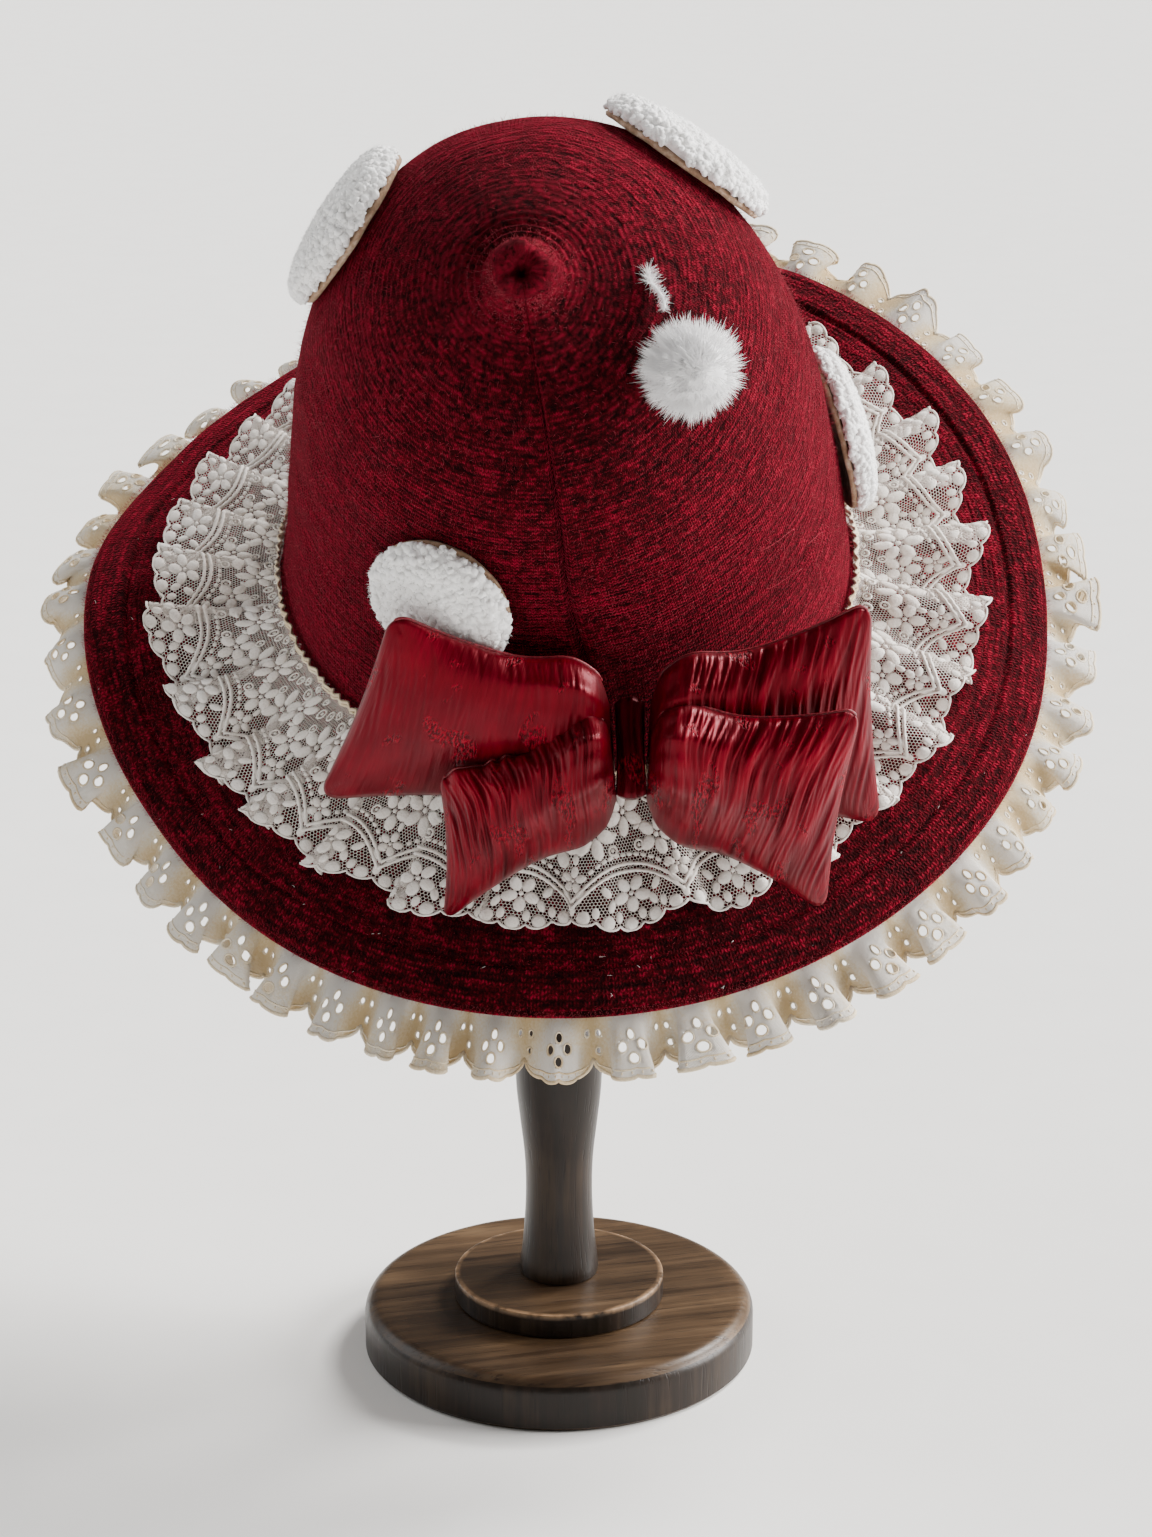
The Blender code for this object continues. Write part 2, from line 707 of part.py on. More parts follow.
def main():
    for item in list(bpy.data.objects):
        bpy.data.objects.remove(item, do_unlink=True)
    parts = bpy.data.collections.new(COLLECTION)
    bpy.context.scene.collection.children.link(parts)
    hat = bpy.data.objects.new("hat", None)
    parts.objects.link(hat)
    hat.matrix_basis = HAT_FRAME

    knit = paint("crimson_knit", (0.30, 0.006, 0.015), 0.9)
    lace_cotton = paint("ivory_lace", (0.78, 0.74, 0.66), 0.85)
    eyelet_cotton = paint("cream_cotton", (0.80, 0.72, 0.56), 0.85)
    satin = paint("crimson_satin", (0.36, 0.006, 0.02), 0.4)
    fleece = paint("white_fleece", (0.86, 0.83, 0.78), 0.95)
    backing = paint("tan_backing", (0.50, 0.40, 0.30), 0.9)
    fur = paint("white_fur", (0.88, 0.87, 0.85), 0.9)
    walnut = paint("dark_walnut", (0.055, 0.028, 0.016), 0.45)

    crown = build_crown(knit, hat)
    brim = build_brim(knit, hat)
    lace = build_lace(lace_cotton, hat)
    build_trim(eyelet_cotton, hat)
    crown_solid = solid_of(crown)
    behind = [crown_solid, solid_of(brim), solid_of(lace)]
    for spot in SPOTS:
        behind += build_spot(spot, fleece, backing, hat, crown_solid)
    build_bow(satin, hat, behind)
    build_pompom(fur, hat, crown_solid)
    build_stand(walnut, solid_of(crown, HAT_FRAME))


if __name__ == "__main__":
    main()
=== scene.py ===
"""The dressed hat on its stand: knitted crown and brim, embroidered lace, eyelet trim, padded
satin bow, fleece spots, fur pompom and a walnut stand.

The hat's pieces are modelled in the hat's own frame, as in the CAD: +Z along the crown, origin
in the middle of the edge where crown and brim meet, azimuth 0 = +X, 90 = back, 270 = front."""

import json
import random
from collections import namedtuple
from functools import lru_cache
from math import copysign, cos, exp, pi, radians, sin, sqrt

import bmesh
import bpy
import numpy as np
from mathutils import Matrix, Vector, noise

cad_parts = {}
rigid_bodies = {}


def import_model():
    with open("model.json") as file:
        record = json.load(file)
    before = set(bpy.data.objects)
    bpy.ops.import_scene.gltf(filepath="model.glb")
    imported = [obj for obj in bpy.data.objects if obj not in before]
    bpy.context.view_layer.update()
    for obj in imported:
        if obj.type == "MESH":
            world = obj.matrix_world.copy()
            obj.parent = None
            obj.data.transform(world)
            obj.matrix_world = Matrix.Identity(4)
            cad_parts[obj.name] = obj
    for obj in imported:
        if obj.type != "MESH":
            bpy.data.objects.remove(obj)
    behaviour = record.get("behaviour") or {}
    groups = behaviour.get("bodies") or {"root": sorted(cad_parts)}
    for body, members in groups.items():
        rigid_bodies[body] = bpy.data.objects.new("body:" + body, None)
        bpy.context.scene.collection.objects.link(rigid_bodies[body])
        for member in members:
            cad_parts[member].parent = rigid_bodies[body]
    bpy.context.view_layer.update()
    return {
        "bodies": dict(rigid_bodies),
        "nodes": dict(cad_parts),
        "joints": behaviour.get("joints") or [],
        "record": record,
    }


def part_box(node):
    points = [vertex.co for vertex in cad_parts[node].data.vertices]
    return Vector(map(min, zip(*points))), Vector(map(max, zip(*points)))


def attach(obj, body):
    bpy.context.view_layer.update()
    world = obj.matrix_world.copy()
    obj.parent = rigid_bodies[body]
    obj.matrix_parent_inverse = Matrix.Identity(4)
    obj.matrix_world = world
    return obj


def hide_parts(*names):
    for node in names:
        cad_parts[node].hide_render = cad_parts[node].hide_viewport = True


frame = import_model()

MM = 0.001

# The hat's place and sizes, as in the CAD.
GAP = 0.3 * MM
HAT_FRAME = (
    Matrix.Translation((0.003, 0.042, 0.2915))
    @ Matrix.Rotation(radians(-1), 4, "Y")
    @ Matrix.Rotation(radians(33), 4, "X")
)
HAT_TURN = HAT_FRAME.to_3x3().to_4x4()
CROWN_RADIUS = 102.5 * MM
CROWN_LENGTH = 206 * MM
CROWN_WALL = 3 * MM
SEAM_AZIMUTH = 276
BRIM_WIDTH = 84 * MM
BRIM_WALL = 3.8 * MM
BRIM_TURN = 7 * MM
HEM_WIDTH = 16 * MM
LACE_WIDTH = 60 * MM
LACE_HEADING = 5 * MM
LACE_FOLDS = 32
LACE_THREAD = 0.25 * MM
TRIM_TUCK = 11 * MM
TRIM_REACH = 21 * MM
TRIM_FOLDS = 50
TRIM_COTTON = 0.45 * MM


def rows_of(fields, *rows):
    """A table whose columns have names."""
    kind = namedtuple("Row", fields)
    return tuple(kind(*row) for row in rows)


CROWN_SECTIONS = rows_of(
    "height radius front side",
    (0.000, 1.000, 0, 0), (0.100, 0.975, 3, 1), (0.220, 0.945, 5, 2), (0.350, 0.908, 8, 3),
    (0.480, 0.862, 14, 4), (0.600, 0.798, 19, 4), (0.700, 0.722, 24, 5), (0.780, 0.628, 28, 5),
    (0.840, 0.515, 31, 5), (0.885, 0.385, 32, 5), (0.912, 0.270, 34, 4), (0.930, 0.185, 34, 3),
    (0.950, 0.125, 34, 2), (0.975, 0.098, 32, 0), (1.000, 0.090, 30, 0),
)
# Degrees that the brim slopes below level round the hat, and the share of its full width.
BRIM_SLOPES = rows_of(
    "azimuth slope width",
    (0, 23, 1.02), (30, 7, 1.01), (60, 0, 1.00), (90, 10, 1.00), (120, 22, 1.00), (150, 22, 1.00),
    (180, 12, 0.97), (210, 33, 1.00), (240, 33, 1.00), (270, 31, 0.99), (300, 31, 0.99), (330, 25, 1.00),
)
# Folds of the lace round the hat: height as a share of the full fold, lean of the crest as a
# share of a fold, how steep its sides stand.
LACE_FOLD_TABLE = rows_of(
    "azimuth height lean steep",
    (0, 1.00, 0.12, 0.36), (40, 0.95, 0.12, 0.36), (90, 0.80, 0.00, 0.30), (130, 0.60, -0.55, 0.10),
    (170, 0.45, -0.80, 0.05), (215, 0.42, -0.80, 0.05), (250, 0.40, -0.55, 0.10), (290, 0.45, 0.10, 0.20),
    (325, 0.85, 0.15, 0.34),
)
# Degrees that the trim droops more than the brim by its edge.
TRIM_DROOP = rows_of("azimuth droop", (0, 35), (90, 20), (180, 48), (270, 5))


def between(rows, column, place, field, period=0):
    """A smooth curve through a table's column, at a place measured on another column."""
    places = [getattr(row, field) for row in rows]
    values = [getattr(row, column) for row in rows]
    if period:
        place = place % period
        places = [places[-1] - period] + places + [places[0] + period, places[1] + period]
        values = [values[-1]] + values + values[:2]
    index = max(i for i in range(len(places) - 1) if places[i] <= max(place, places[0]))
    span = places[index + 1] - places[index]
    share = (place - places[index]) / span

    def gradient(i):
        low, high = max(i - 1, 0), min(i + 1, len(places) - 1)
        return (values[high] - values[low]) / (places[high] - places[low]) * span

    if share > 1:
        return values[-1]
    square, cube = share * share, share**3
    return (
        (2 * cube - 3 * square + 1) * values[index]
        + (cube - 2 * square + share) * gradient(index)
        + (3 * square - 2 * cube) * values[index + 1]
        + (cube - square) * gradient(index + 1)
    )


def blend(start, end, share):
    return start + (end - start) * share


def crown_lean(height):
    """The section's own directions: to +X, to the back and along the crown."""
    front = radians(between(CROWN_SECTIONS, "front", height, "height"))
    side = radians(between(CROWN_SECTIONS, "side", height, "height"))
    along = Vector((-sin(side), -sin(front) * cos(side), cos(front) * cos(side)))
    across = Vector((cos(side), -sin(front) * sin(side), cos(front) * sin(side)))
    return across, along.cross(across), along


@lru_cache(maxsize=None)
def crown_section(height):
    steps = 48
    centre = Vector()
    for step in range(steps):
        lean = crown_lean(height * (step + 0.5) / steps)
        centre += lean[2] * (CROWN_LENGTH * height / steps)
    return centre, crown_lean(height)


def crown_at(azimuth, height, radius=None, lift=0.0):
    """A point on the crown's outer surface."""
    if radius is None:
        radius = between(CROWN_SECTIONS, "radius", height, "height")
    centre, (across, back, _) = crown_section(height)
    reach = CROWN_RADIUS * radius + lift
    turn = radians(azimuth)
    return centre + across * (reach * cos(turn)) + back * (reach * sin(turn))


def crown_turn(azimuth, height):
    """The turn of the crown's surface in the world: X round it, Y up it and Z out of it."""
    across = (crown_at(azimuth + 1, height) - crown_at(azimuth - 1, height)).normalized()
    rise = (crown_at(azimuth, height + 0.01) - crown_at(azimuth, height - 0.01)).normalized()
    out = across.cross(rise).normalized()
    return HAT_TURN @ Matrix((across, out.cross(across), out)).transposed().to_4x4()


@lru_cache(maxsize=None)
def brim_slope(azimuth):
    slope = radians(between(BRIM_SLOPES, "slope", azimuth, "azimuth", 360))
    return slope, BRIM_WIDTH * between(BRIM_SLOPES, "width", azimuth, "azimuth", 360)


def brim_width(azimuth):
    return brim_slope(azimuth)[1]


def brim_at(azimuth, along, lift=0.0, droop=0.0):
    """A point on the brim's upper surface, or lifted off it, at a distance from the crown's
    edge along the cloth. Before the edge it runs up the crown, past the rim it droops."""
    slope, width = brim_slope(azimuth)
    bend = BRIM_TURN * (pi / 2 - slope)
    if along <= 0:
        reach, height, down = CROWN_RADIUS, -along - GAP, pi / 2
    elif along < bend:
        down = pi / 2 - along / BRIM_TURN
        reach = CROWN_RADIUS + BRIM_TURN * (1 - sin(down))
        height = -GAP - BRIM_TURN * cos(down)
    else:
        flat = min(along, width) - bend
        past = max(along - width, 0.0)
        down = slope
        reach = CROWN_RADIUS + BRIM_TURN * (1 - sin(slope)) + flat * cos(slope)
        height = -GAP - BRIM_TURN * cos(slope) - flat * sin(slope)
        down += radians(droop) * past / TRIM_REACH / 2
        reach += past * cos(down)
        height -= past * sin(down)
    reach += lift * sin(down)
    height += lift * cos(down)
    turn = radians(azimuth)
    return Vector((reach * cos(turn), reach * sin(turn), height))


def fold_azimuth(share, wander):
    turn = 2 * pi * share
    sway = sin(3 * turn + 0.7) + 0.7 * sin(5 * turn + 2.1) + 0.5 * sin(9 * turn)
    return 360 * share + wander * sway


def fold_height(share):
    turn = 2 * pi * share
    return 1 + 0.16 * sin(5 * turn + 1) + 0.13 * sin(11 * turn + 2)


# Making of pieces


def mesh_of(name, bm):
    mesh = bpy.data.meshes.new(name)
    bm.to_mesh(mesh)
    bm.free()
    return mesh


def shown(name, data):
    item = bpy.data.objects.new(name, data)
    bpy.context.scene.collection.objects.link(item)
    return item


def piece(name, made, looks, nodes=(), crease=None):
    """A finished piece from its mesh or bmesh, whose corners are already in their place."""
    mesh = made if isinstance(made, bpy.types.Mesh) else mesh_of(name, made)
    for look in looks:
        mesh.materials.append(look)
    mesh.shade_smooth()
    if crease:
        mesh.set_sharp_from_angle(angle=radians(crease))
    item = shown(name, mesh)
    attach(item, "root")
    if nodes:
        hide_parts(*nodes)
    return item


def corners_of(mesh):
    corners = np.empty(len(mesh.vertices) * 3)
    mesh.vertices.foreach_get("co", corners)
    return corners.reshape(-1, 3)


def cell(place, columns, rows):
    """The column and row of a place on a grid of unit size round the origin."""
    return round((place.x + 0.5) * columns), round((place.y + 0.5) * rows)


def flat_grid(bm, columns, rows):
    """The corners of a flat grid, each with its column and row."""
    made = bmesh.ops.create_grid(bm, x_segments=columns, y_segments=rows, size=0.5, calc_uvs=False)
    return [(vert, *cell(vert.co, columns, rows)) for vert in made["verts"]]


def map_cloth(bm, flat=lambda co: co.xy):
    """Gives a shape the cloth's UV map: where each corner lies on the flat cloth."""
    uv = bm.loops.layers.uv.new("cloth")
    for face in bm.faces:
        for loop in face.loops:
            loop[uv].uv = flat(loop.vert.co)


def mapped_grid(columns, rows, place, flat, wrap_rows=False):
    """A grid of cloth whose corners lie at place(column, row), closed round its columns, with
    a UV map of flat(column, row)."""
    bm = bmesh.new()
    corners = flat_grid(bm, columns, rows)
    map_cloth(bm, lambda co: flat(*cell(co, columns, rows)))
    for vert, column, row in corners:
        vert.co = place(column % columns, row % rows if wrap_rows else row)
    bmesh.ops.remove_doubles(bm, verts=bm.verts, dist=1e-7)
    return bm


def shape_arrays(bm):
    """A small shape's corners and faces, ready to be repeated."""
    bm.verts.index_update()
    corners = np.array([vert.co for vert in bm.verts])
    faces = [[vert.index for vert in face.verts] for face in bm.faces]
    bm.free()
    return corners, faces


def scattered(name, shapes, places):
    """One mesh of many copies of small shapes: places are (shape number, matrix)."""
    corners, loops, starts, base, filled = [], [], [], 0, 0
    for number, (shape, faces) in enumerate(shapes):
        frames = np.array([place for kind, place in places if kind == number])
        if not len(frames):
            continue
        moved = np.einsum("mij,nj->mni", frames[:, :3, :3], shape) + frames[:, None, :3, 3]
        corners.append(moved.reshape(-1, 3))
        flat = np.concatenate([np.array(face) for face in faces])
        sizes = np.array([len(face) for face in faces])
        offsets = base + len(shape) * np.arange(len(frames))
        loops.append((flat[None, :] + offsets[:, None]).ravel())
        first = np.concatenate(([0], np.cumsum(sizes)[:-1]))
        starts.append((filled + first[None, :] + len(flat) * np.arange(len(frames))[:, None]).ravel())
        base += len(shape) * len(frames)
        filled += len(flat) * len(frames)
    corners, loops, starts = (np.concatenate(rows) for rows in (corners, loops, starts))
    mesh = bpy.data.meshes.new(name)
    mesh.vertices.add(len(corners))
    mesh.vertices.foreach_set("co", corners.ravel())
    mesh.loops.add(len(loops))
    mesh.loops.foreach_set("vertex_index", loops.astype(np.int32))
    mesh.polygons.add(len(starts))
    mesh.polygons.foreach_set("loop_start", starts.astype(np.int32))
    mesh.update(calc_edges=True)
    mesh.validate()
    return mesh


def planted(name, shapes, homes, look, frame=None):
    """A piece of many small shapes, each at its home."""
    mesh = scattered(name, shapes, homes)
    if frame is not None:
        mesh.transform(frame)
    return piece(name, mesh, [look])


def pointing(place, direction, length, width, roll=0.0):
    """The matrix that stands a shape of unit length along its Z at a place."""
    turn = direction.to_track_quat("Z", "Y").to_matrix().to_4x4()
    size = Matrix.Diagonal((width, width, length, 1))
    return Matrix.Translation(place) @ turn @ Matrix.Rotation(roll, 4, "Z") @ size


def drawn_vector(draw):
    return Vector((draw.gauss(0, 1), draw.gauss(0, 1), draw.gauss(0, 1)))


def fibre_shape(steps=1, bend=0.0):
    """A tapering fibre of three sides, one long and one wide, bent to its +X."""
    bm = bmesh.new()
    for step in range(steps):
        bmesh.ops.create_cone(
            bm,
            cap_ends=step in (0, steps - 1),
            segments=3,
            radius1=0.5 * (1 - 0.8 * step / steps),
            radius2=0.5 * (1 - 0.8 * (step + 1) / steps) if step < steps - 1 else 0.0,
            depth=1 / steps,
            matrix=Matrix.Translation((0, 0, (step + 0.5) / steps)),
        )
    bmesh.ops.remove_doubles(bm, verts=bm.verts, dist=1e-4)
    inside = [face for face in bm.faces if abs(face.normal.z) > 0.99 and face.calc_center_median().z > 0.01]
    bmesh.ops.delete(bm, geom=inside, context="FACES_ONLY")
    for vert in bm.verts:
        vert.co.x += bend * vert.co.z**2
    return shape_arrays(bm)


def tube(bm, path, radius, sides=6, squash=1.0, closed=False):
    """A tube along a path of points, with round ends unless it is closed."""
    steps = len(path) if closed else len(path) - 1
    part = bmesh.new()
    sizes = radius if callable(radius) else lambda share: radius
    for vert, _, step in flat_grid(part, sides, steps):
        turn = 2 * pi * (vert.co.x + 0.5)
        here = Vector(path[step % len(path)])
        low, high = (step - 1, step + 1) if closed else (max(step - 1, 0), min(step + 1, steps))
        ahead = (Vector(path[high % len(path)]) - Vector(path[low % len(path)])).normalized()
        side = ahead.cross(Vector((0, 0, 1)))
        side = side.normalized() if side.length > 0.01 else Vector((1, 0, 0))
        over = side.cross(ahead)
        size = sizes(step / steps)
        vert.co = here + side * (size * cos(turn)) + over * (size * sin(turn) * squash)
    bmesh.ops.remove_doubles(part, verts=part.verts, dist=1e-7)
    bmesh.ops.holes_fill(part, edges=part.edges, sides=sides)
    bmesh.ops.recalc_face_normals(part, faces=part.faces)
    mesh = mesh_of("tube", part)
    bm.from_mesh(mesh)
    bpy.data.meshes.remove(mesh)


# Materials


def feed(tree, socket, value):
    if isinstance(value, bpy.types.NodeSocket):
        tree.links.new(value, socket)
    else:
        socket.default_value = value


def calc(tree, operation, *values):
    step = tree.nodes.new("ShaderNodeMath")
    step.operation = operation
    for socket, value in zip(step.inputs, values):
        feed(tree, socket, value)
    return step.outputs[0]


def times(tree, *values):
    return calc(tree, "MULTIPLY", *values)


def times_plus(tree, *values):
    return calc(tree, "MULTIPLY_ADD", *values)


def attribute(tree, name):
    step = tree.nodes.new("ShaderNodeAttribute")
    step.attribute_name = name
    return step.outputs["Fac"]


def axes(tree, place, scale=None):
    """A place's X, Y and Z, times a scale where one is given."""
    if scale is not None:
        scaled = tree.nodes.new("ShaderNodeVectorMath")
        scaled.operation = "SCALE"
        feed(tree, scaled.inputs[0], place)
        feed(tree, scaled.inputs["Scale"], scale)
        place = scaled.outputs[0]
    split = tree.nodes.new("ShaderNodeSeparateXYZ")
    feed(tree, split.inputs[0], place)
    return split.outputs


def mottle(tree, place, scale, detail=2.0, rough=0.5, stretch=None):
    """Soft noise from 0 to 1 at a place."""
    if stretch:
        mapping = tree.nodes.new("ShaderNodeMapping")
        feed(tree, mapping.inputs["Vector"], place)
        mapping.inputs["Scale"].default_value = stretch
        place = mapping.outputs[0]
    step = tree.nodes.new("ShaderNodeTexNoise")
    feed(tree, step.inputs["Vector"], place)
    step.inputs["Scale"].default_value = scale
    step.inputs["Detail"].default_value = detail
    step.inputs["Roughness"].default_value = rough
    return step.outputs[0]


def remap(tree, value, low, high, to_low=0.0, to_high=1.0):
    step = tree.nodes.new("ShaderNodeMapRange")
    given = {"Value": value, "From Min": low, "From Max": high, "To Min": to_low, "To Max": to_high}
    for name, amount in given.items():
        feed(tree, step.inputs[name], amount)
    return step.outputs[0]


def shades(tree, value, *stops):
    """A colour from stops of (place, colour)."""
    step = tree.nodes.new("ShaderNodeValToRGB")
    feed(tree, step.inputs[0], value)
    band = step.color_ramp.elements
    while len(band) < len(stops):
        band.new(0.5)
    for mark, (place, colour) in zip(band, stops):
        mark.position = place
        mark.color = (*colour, 1.0)
    return step.outputs[0]


def mix(tree, share, first, second):
    step = tree.nodes.new("ShaderNodeMix")
    step.data_type = "RGBA"
    feed(tree, step.inputs[0], share)
    for socket, colour in ((step.inputs[6], first), (step.inputs[7], second)):
        feed(tree, socket, colour if isinstance(colour, bpy.types.NodeSocket) else (*colour, 1.0))
    return step.outputs[2]


def bumped(tree, height, distance, strength=1.0):
    step = tree.nodes.new("ShaderNodeBump")
    feed(tree, step.inputs["Height"], height)
    step.inputs["Distance"].default_value = distance
    step.inputs["Strength"].default_value = strength
    return step.outputs[0]


def places(tree, kind="Object"):
    return tree.nodes.new("ShaderNodeTexCoord").outputs[kind]


def effect(name, placed, valued, results, make):
    """A shader node group that finishes share: what it takes as places and values, and gives."""
    group = bpy.data.node_groups.new(name, "ShaderNodeTree")
    for label in placed:
        group.interface.new_socket(label, in_out="INPUT", socket_type="NodeSocketVector")
    for label, value in valued.items():
        socket = group.interface.new_socket(label, in_out="INPUT", socket_type="NodeSocketFloat")
        socket.default_value = value
    for label in results:
        group.interface.new_socket(label, in_out="OUTPUT", socket_type="NodeSocketFloat")
    given = group.nodes.new("NodeGroupInput")
    result = group.nodes.new("NodeGroupOutput")
    for label, value in make(group, given.outputs).items():
        feed(group, result.inputs[label], value)
    return group


def use(tree, group, **values):
    step = tree.nodes.new("ShaderNodeGroup")
    step.node_tree = group
    for label, value in values.items():
        feed(tree, step.inputs[label.replace("_", " ")], value)
    return step.outputs


def finish(look, colour, roughness, normal=None, alpha=None, **fixed):
    """A material: colour, roughness and normal may be sockets, the rest are plain values."""
    tree = look.node_tree
    shader = tree.nodes["Principled BSDF"]
    feed(tree, shader.inputs["Base Color"], colour)
    feed(tree, shader.inputs["Roughness"], roughness)
    if normal is not None:
        feed(tree, shader.inputs["Normal"], normal)
    if alpha is not None:
        feed(tree, shader.inputs["Alpha"], alpha)
    for label, value in fixed.items():
        shader.inputs[label.replace("_", " ")].default_value = value
    return look


def new_look(name):
    look = bpy.data.materials.new(name)
    look.use_nodes = True
    return look, look.node_tree


def plain_look(name, grain, dark, light, rough, bump=None, **fixed):
    """A finish of one noise: its colours, and its roughness from low to high."""
    look, tree = new_look(name)
    strands = mottle(tree, places(tree), *grain)
    colour = shades(tree, strands, (0.3, dark), (0.7, light))
    normal = bumped(tree, strands, *bump) if bump else None
    return finish(look, colour, remap(tree, strands, 0, 1, *rough), normal, **fixed)


def make_stitches(tree, given):
    """Rows of knitted V stitches: place counts stitches across and courses up."""
    across, up, _ = axes(tree, given["Place"])
    side = calc(tree, "PINGPONG", across, 0.5)
    raised = calc(tree, "ADD", up, times(tree, side, 1.1))
    wave = calc(tree, "ABSOLUTE", calc(tree, "SINE", times(tree, raised, pi)))
    legs = calc(tree, "SINE", times(tree, side, 2 * pi))
    yarn = times(tree, calc(tree, "POWER", wave, 0.7), remap(tree, legs, 0, 1, 0.35, 1.0))
    broken = remap(tree, mottle(tree, given["Felt place"], 430, 2, 0.6), 0.38, 0.60, 0.15, 1.0)
    yarn = times(tree, yarn, broken)
    felt = mottle(tree, given["Felt place"], 760, 3, 0.75)
    loose = mottle(tree, given["Felt place"], 260, 3, 0.6)
    covered = mottle(tree, given["Felt place"], 70, 2)
    depth = remap(tree, covered, 0.35, 0.7, 1.0, 0.35)
    dashes = mottle(tree, given["Place"], 1.0, 1, 0.5, stretch=(0.14, 0.8, 1.0))
    dashes = times(tree, remap(tree, dashes, 0.38, 0.62, -0.5, 0.5), depth)
    height = times_plus(tree, dashes, 0.5, times(tree, yarn, depth))
    height = times_plus(tree, felt, 0.8, height)
    height = times_plus(tree, loose, 0.7, height)
    # The yarn's rise and the dashes are also given out for the colour, where they paint shade between the
    # stitches and in the grooves.
    return {"Height": height, "Yarn": yarn, "Felt": felt, "Loose": loose, "Dashes": dashes}


def make_net(tree, given):
    """A net of six-sided meshes: 1 on its threads."""
    across, up, _ = axes(tree, given["Place"], given["Scale"])
    tall = sqrt(3)

    def off_middle(place, shift):
        turn = calc(tree, "FLOORED_MODULO", calc(tree, "ADD", place, shift), 1.0)
        return calc(tree, "ABSOLUTE", calc(tree, "SUBTRACT", turn, 0.5))

    def to_edge(shift):
        x = off_middle(across, shift)
        y = times(tree, off_middle(calc(tree, "DIVIDE", up, tall), shift), tall)
        slant = times_plus(tree, y, tall / 2, times(tree, x, 0.5))
        return calc(tree, "MAXIMUM", x, slant)

    edge = calc(tree, "MINIMUM", to_edge(0.0), to_edge(0.5))
    return {"Threads": calc(tree, "GREATER_THAN", edge, given["Opening"])}


def make_weave(tree, given):
    """Fine over-and-under threads."""
    across, along, _ = axes(tree, given["Place"], given["Scale"])
    crossed = times(tree, calc(tree, "SINE", across), calc(tree, "SINE", along))
    threads = times_plus(tree, crossed, 0.5, 0.5)
    slub = mottle(tree, given["Place"], 900, 2, 0.6)
    return {"Height": times_plus(tree, slub, 0.8, threads), "Slub": slub}


def make_grain(tree, given):
    """Wood grain along X: long streaks, pores and clouds of stain."""
    streaks = mottle(tree, given["Place"], 260, 5, 0.62, stretch=(0.045, 1.0, 1.0))
    pores = mottle(tree, given["Place"], 900, 2, 0.6, stretch=(0.05, 1.0, 1.0))
    rings = mottle(tree, given["Place"], 60, 3, 0.5, stretch=(0.10, 1.0, 1.0))
    clouds = mottle(tree, given["Place"], 22, 3, 0.55)
    tone = times_plus(tree, streaks, 0.55, times(tree, rings, 0.45))
    tone = times_plus(tree, clouds, given["Clouds"], tone)
    pore = remap(tree, pores, 0.30, 0.42, 0.0, 1.0)
    return {"Tone": tone, "Pore": pore, "Streaks": streaks}


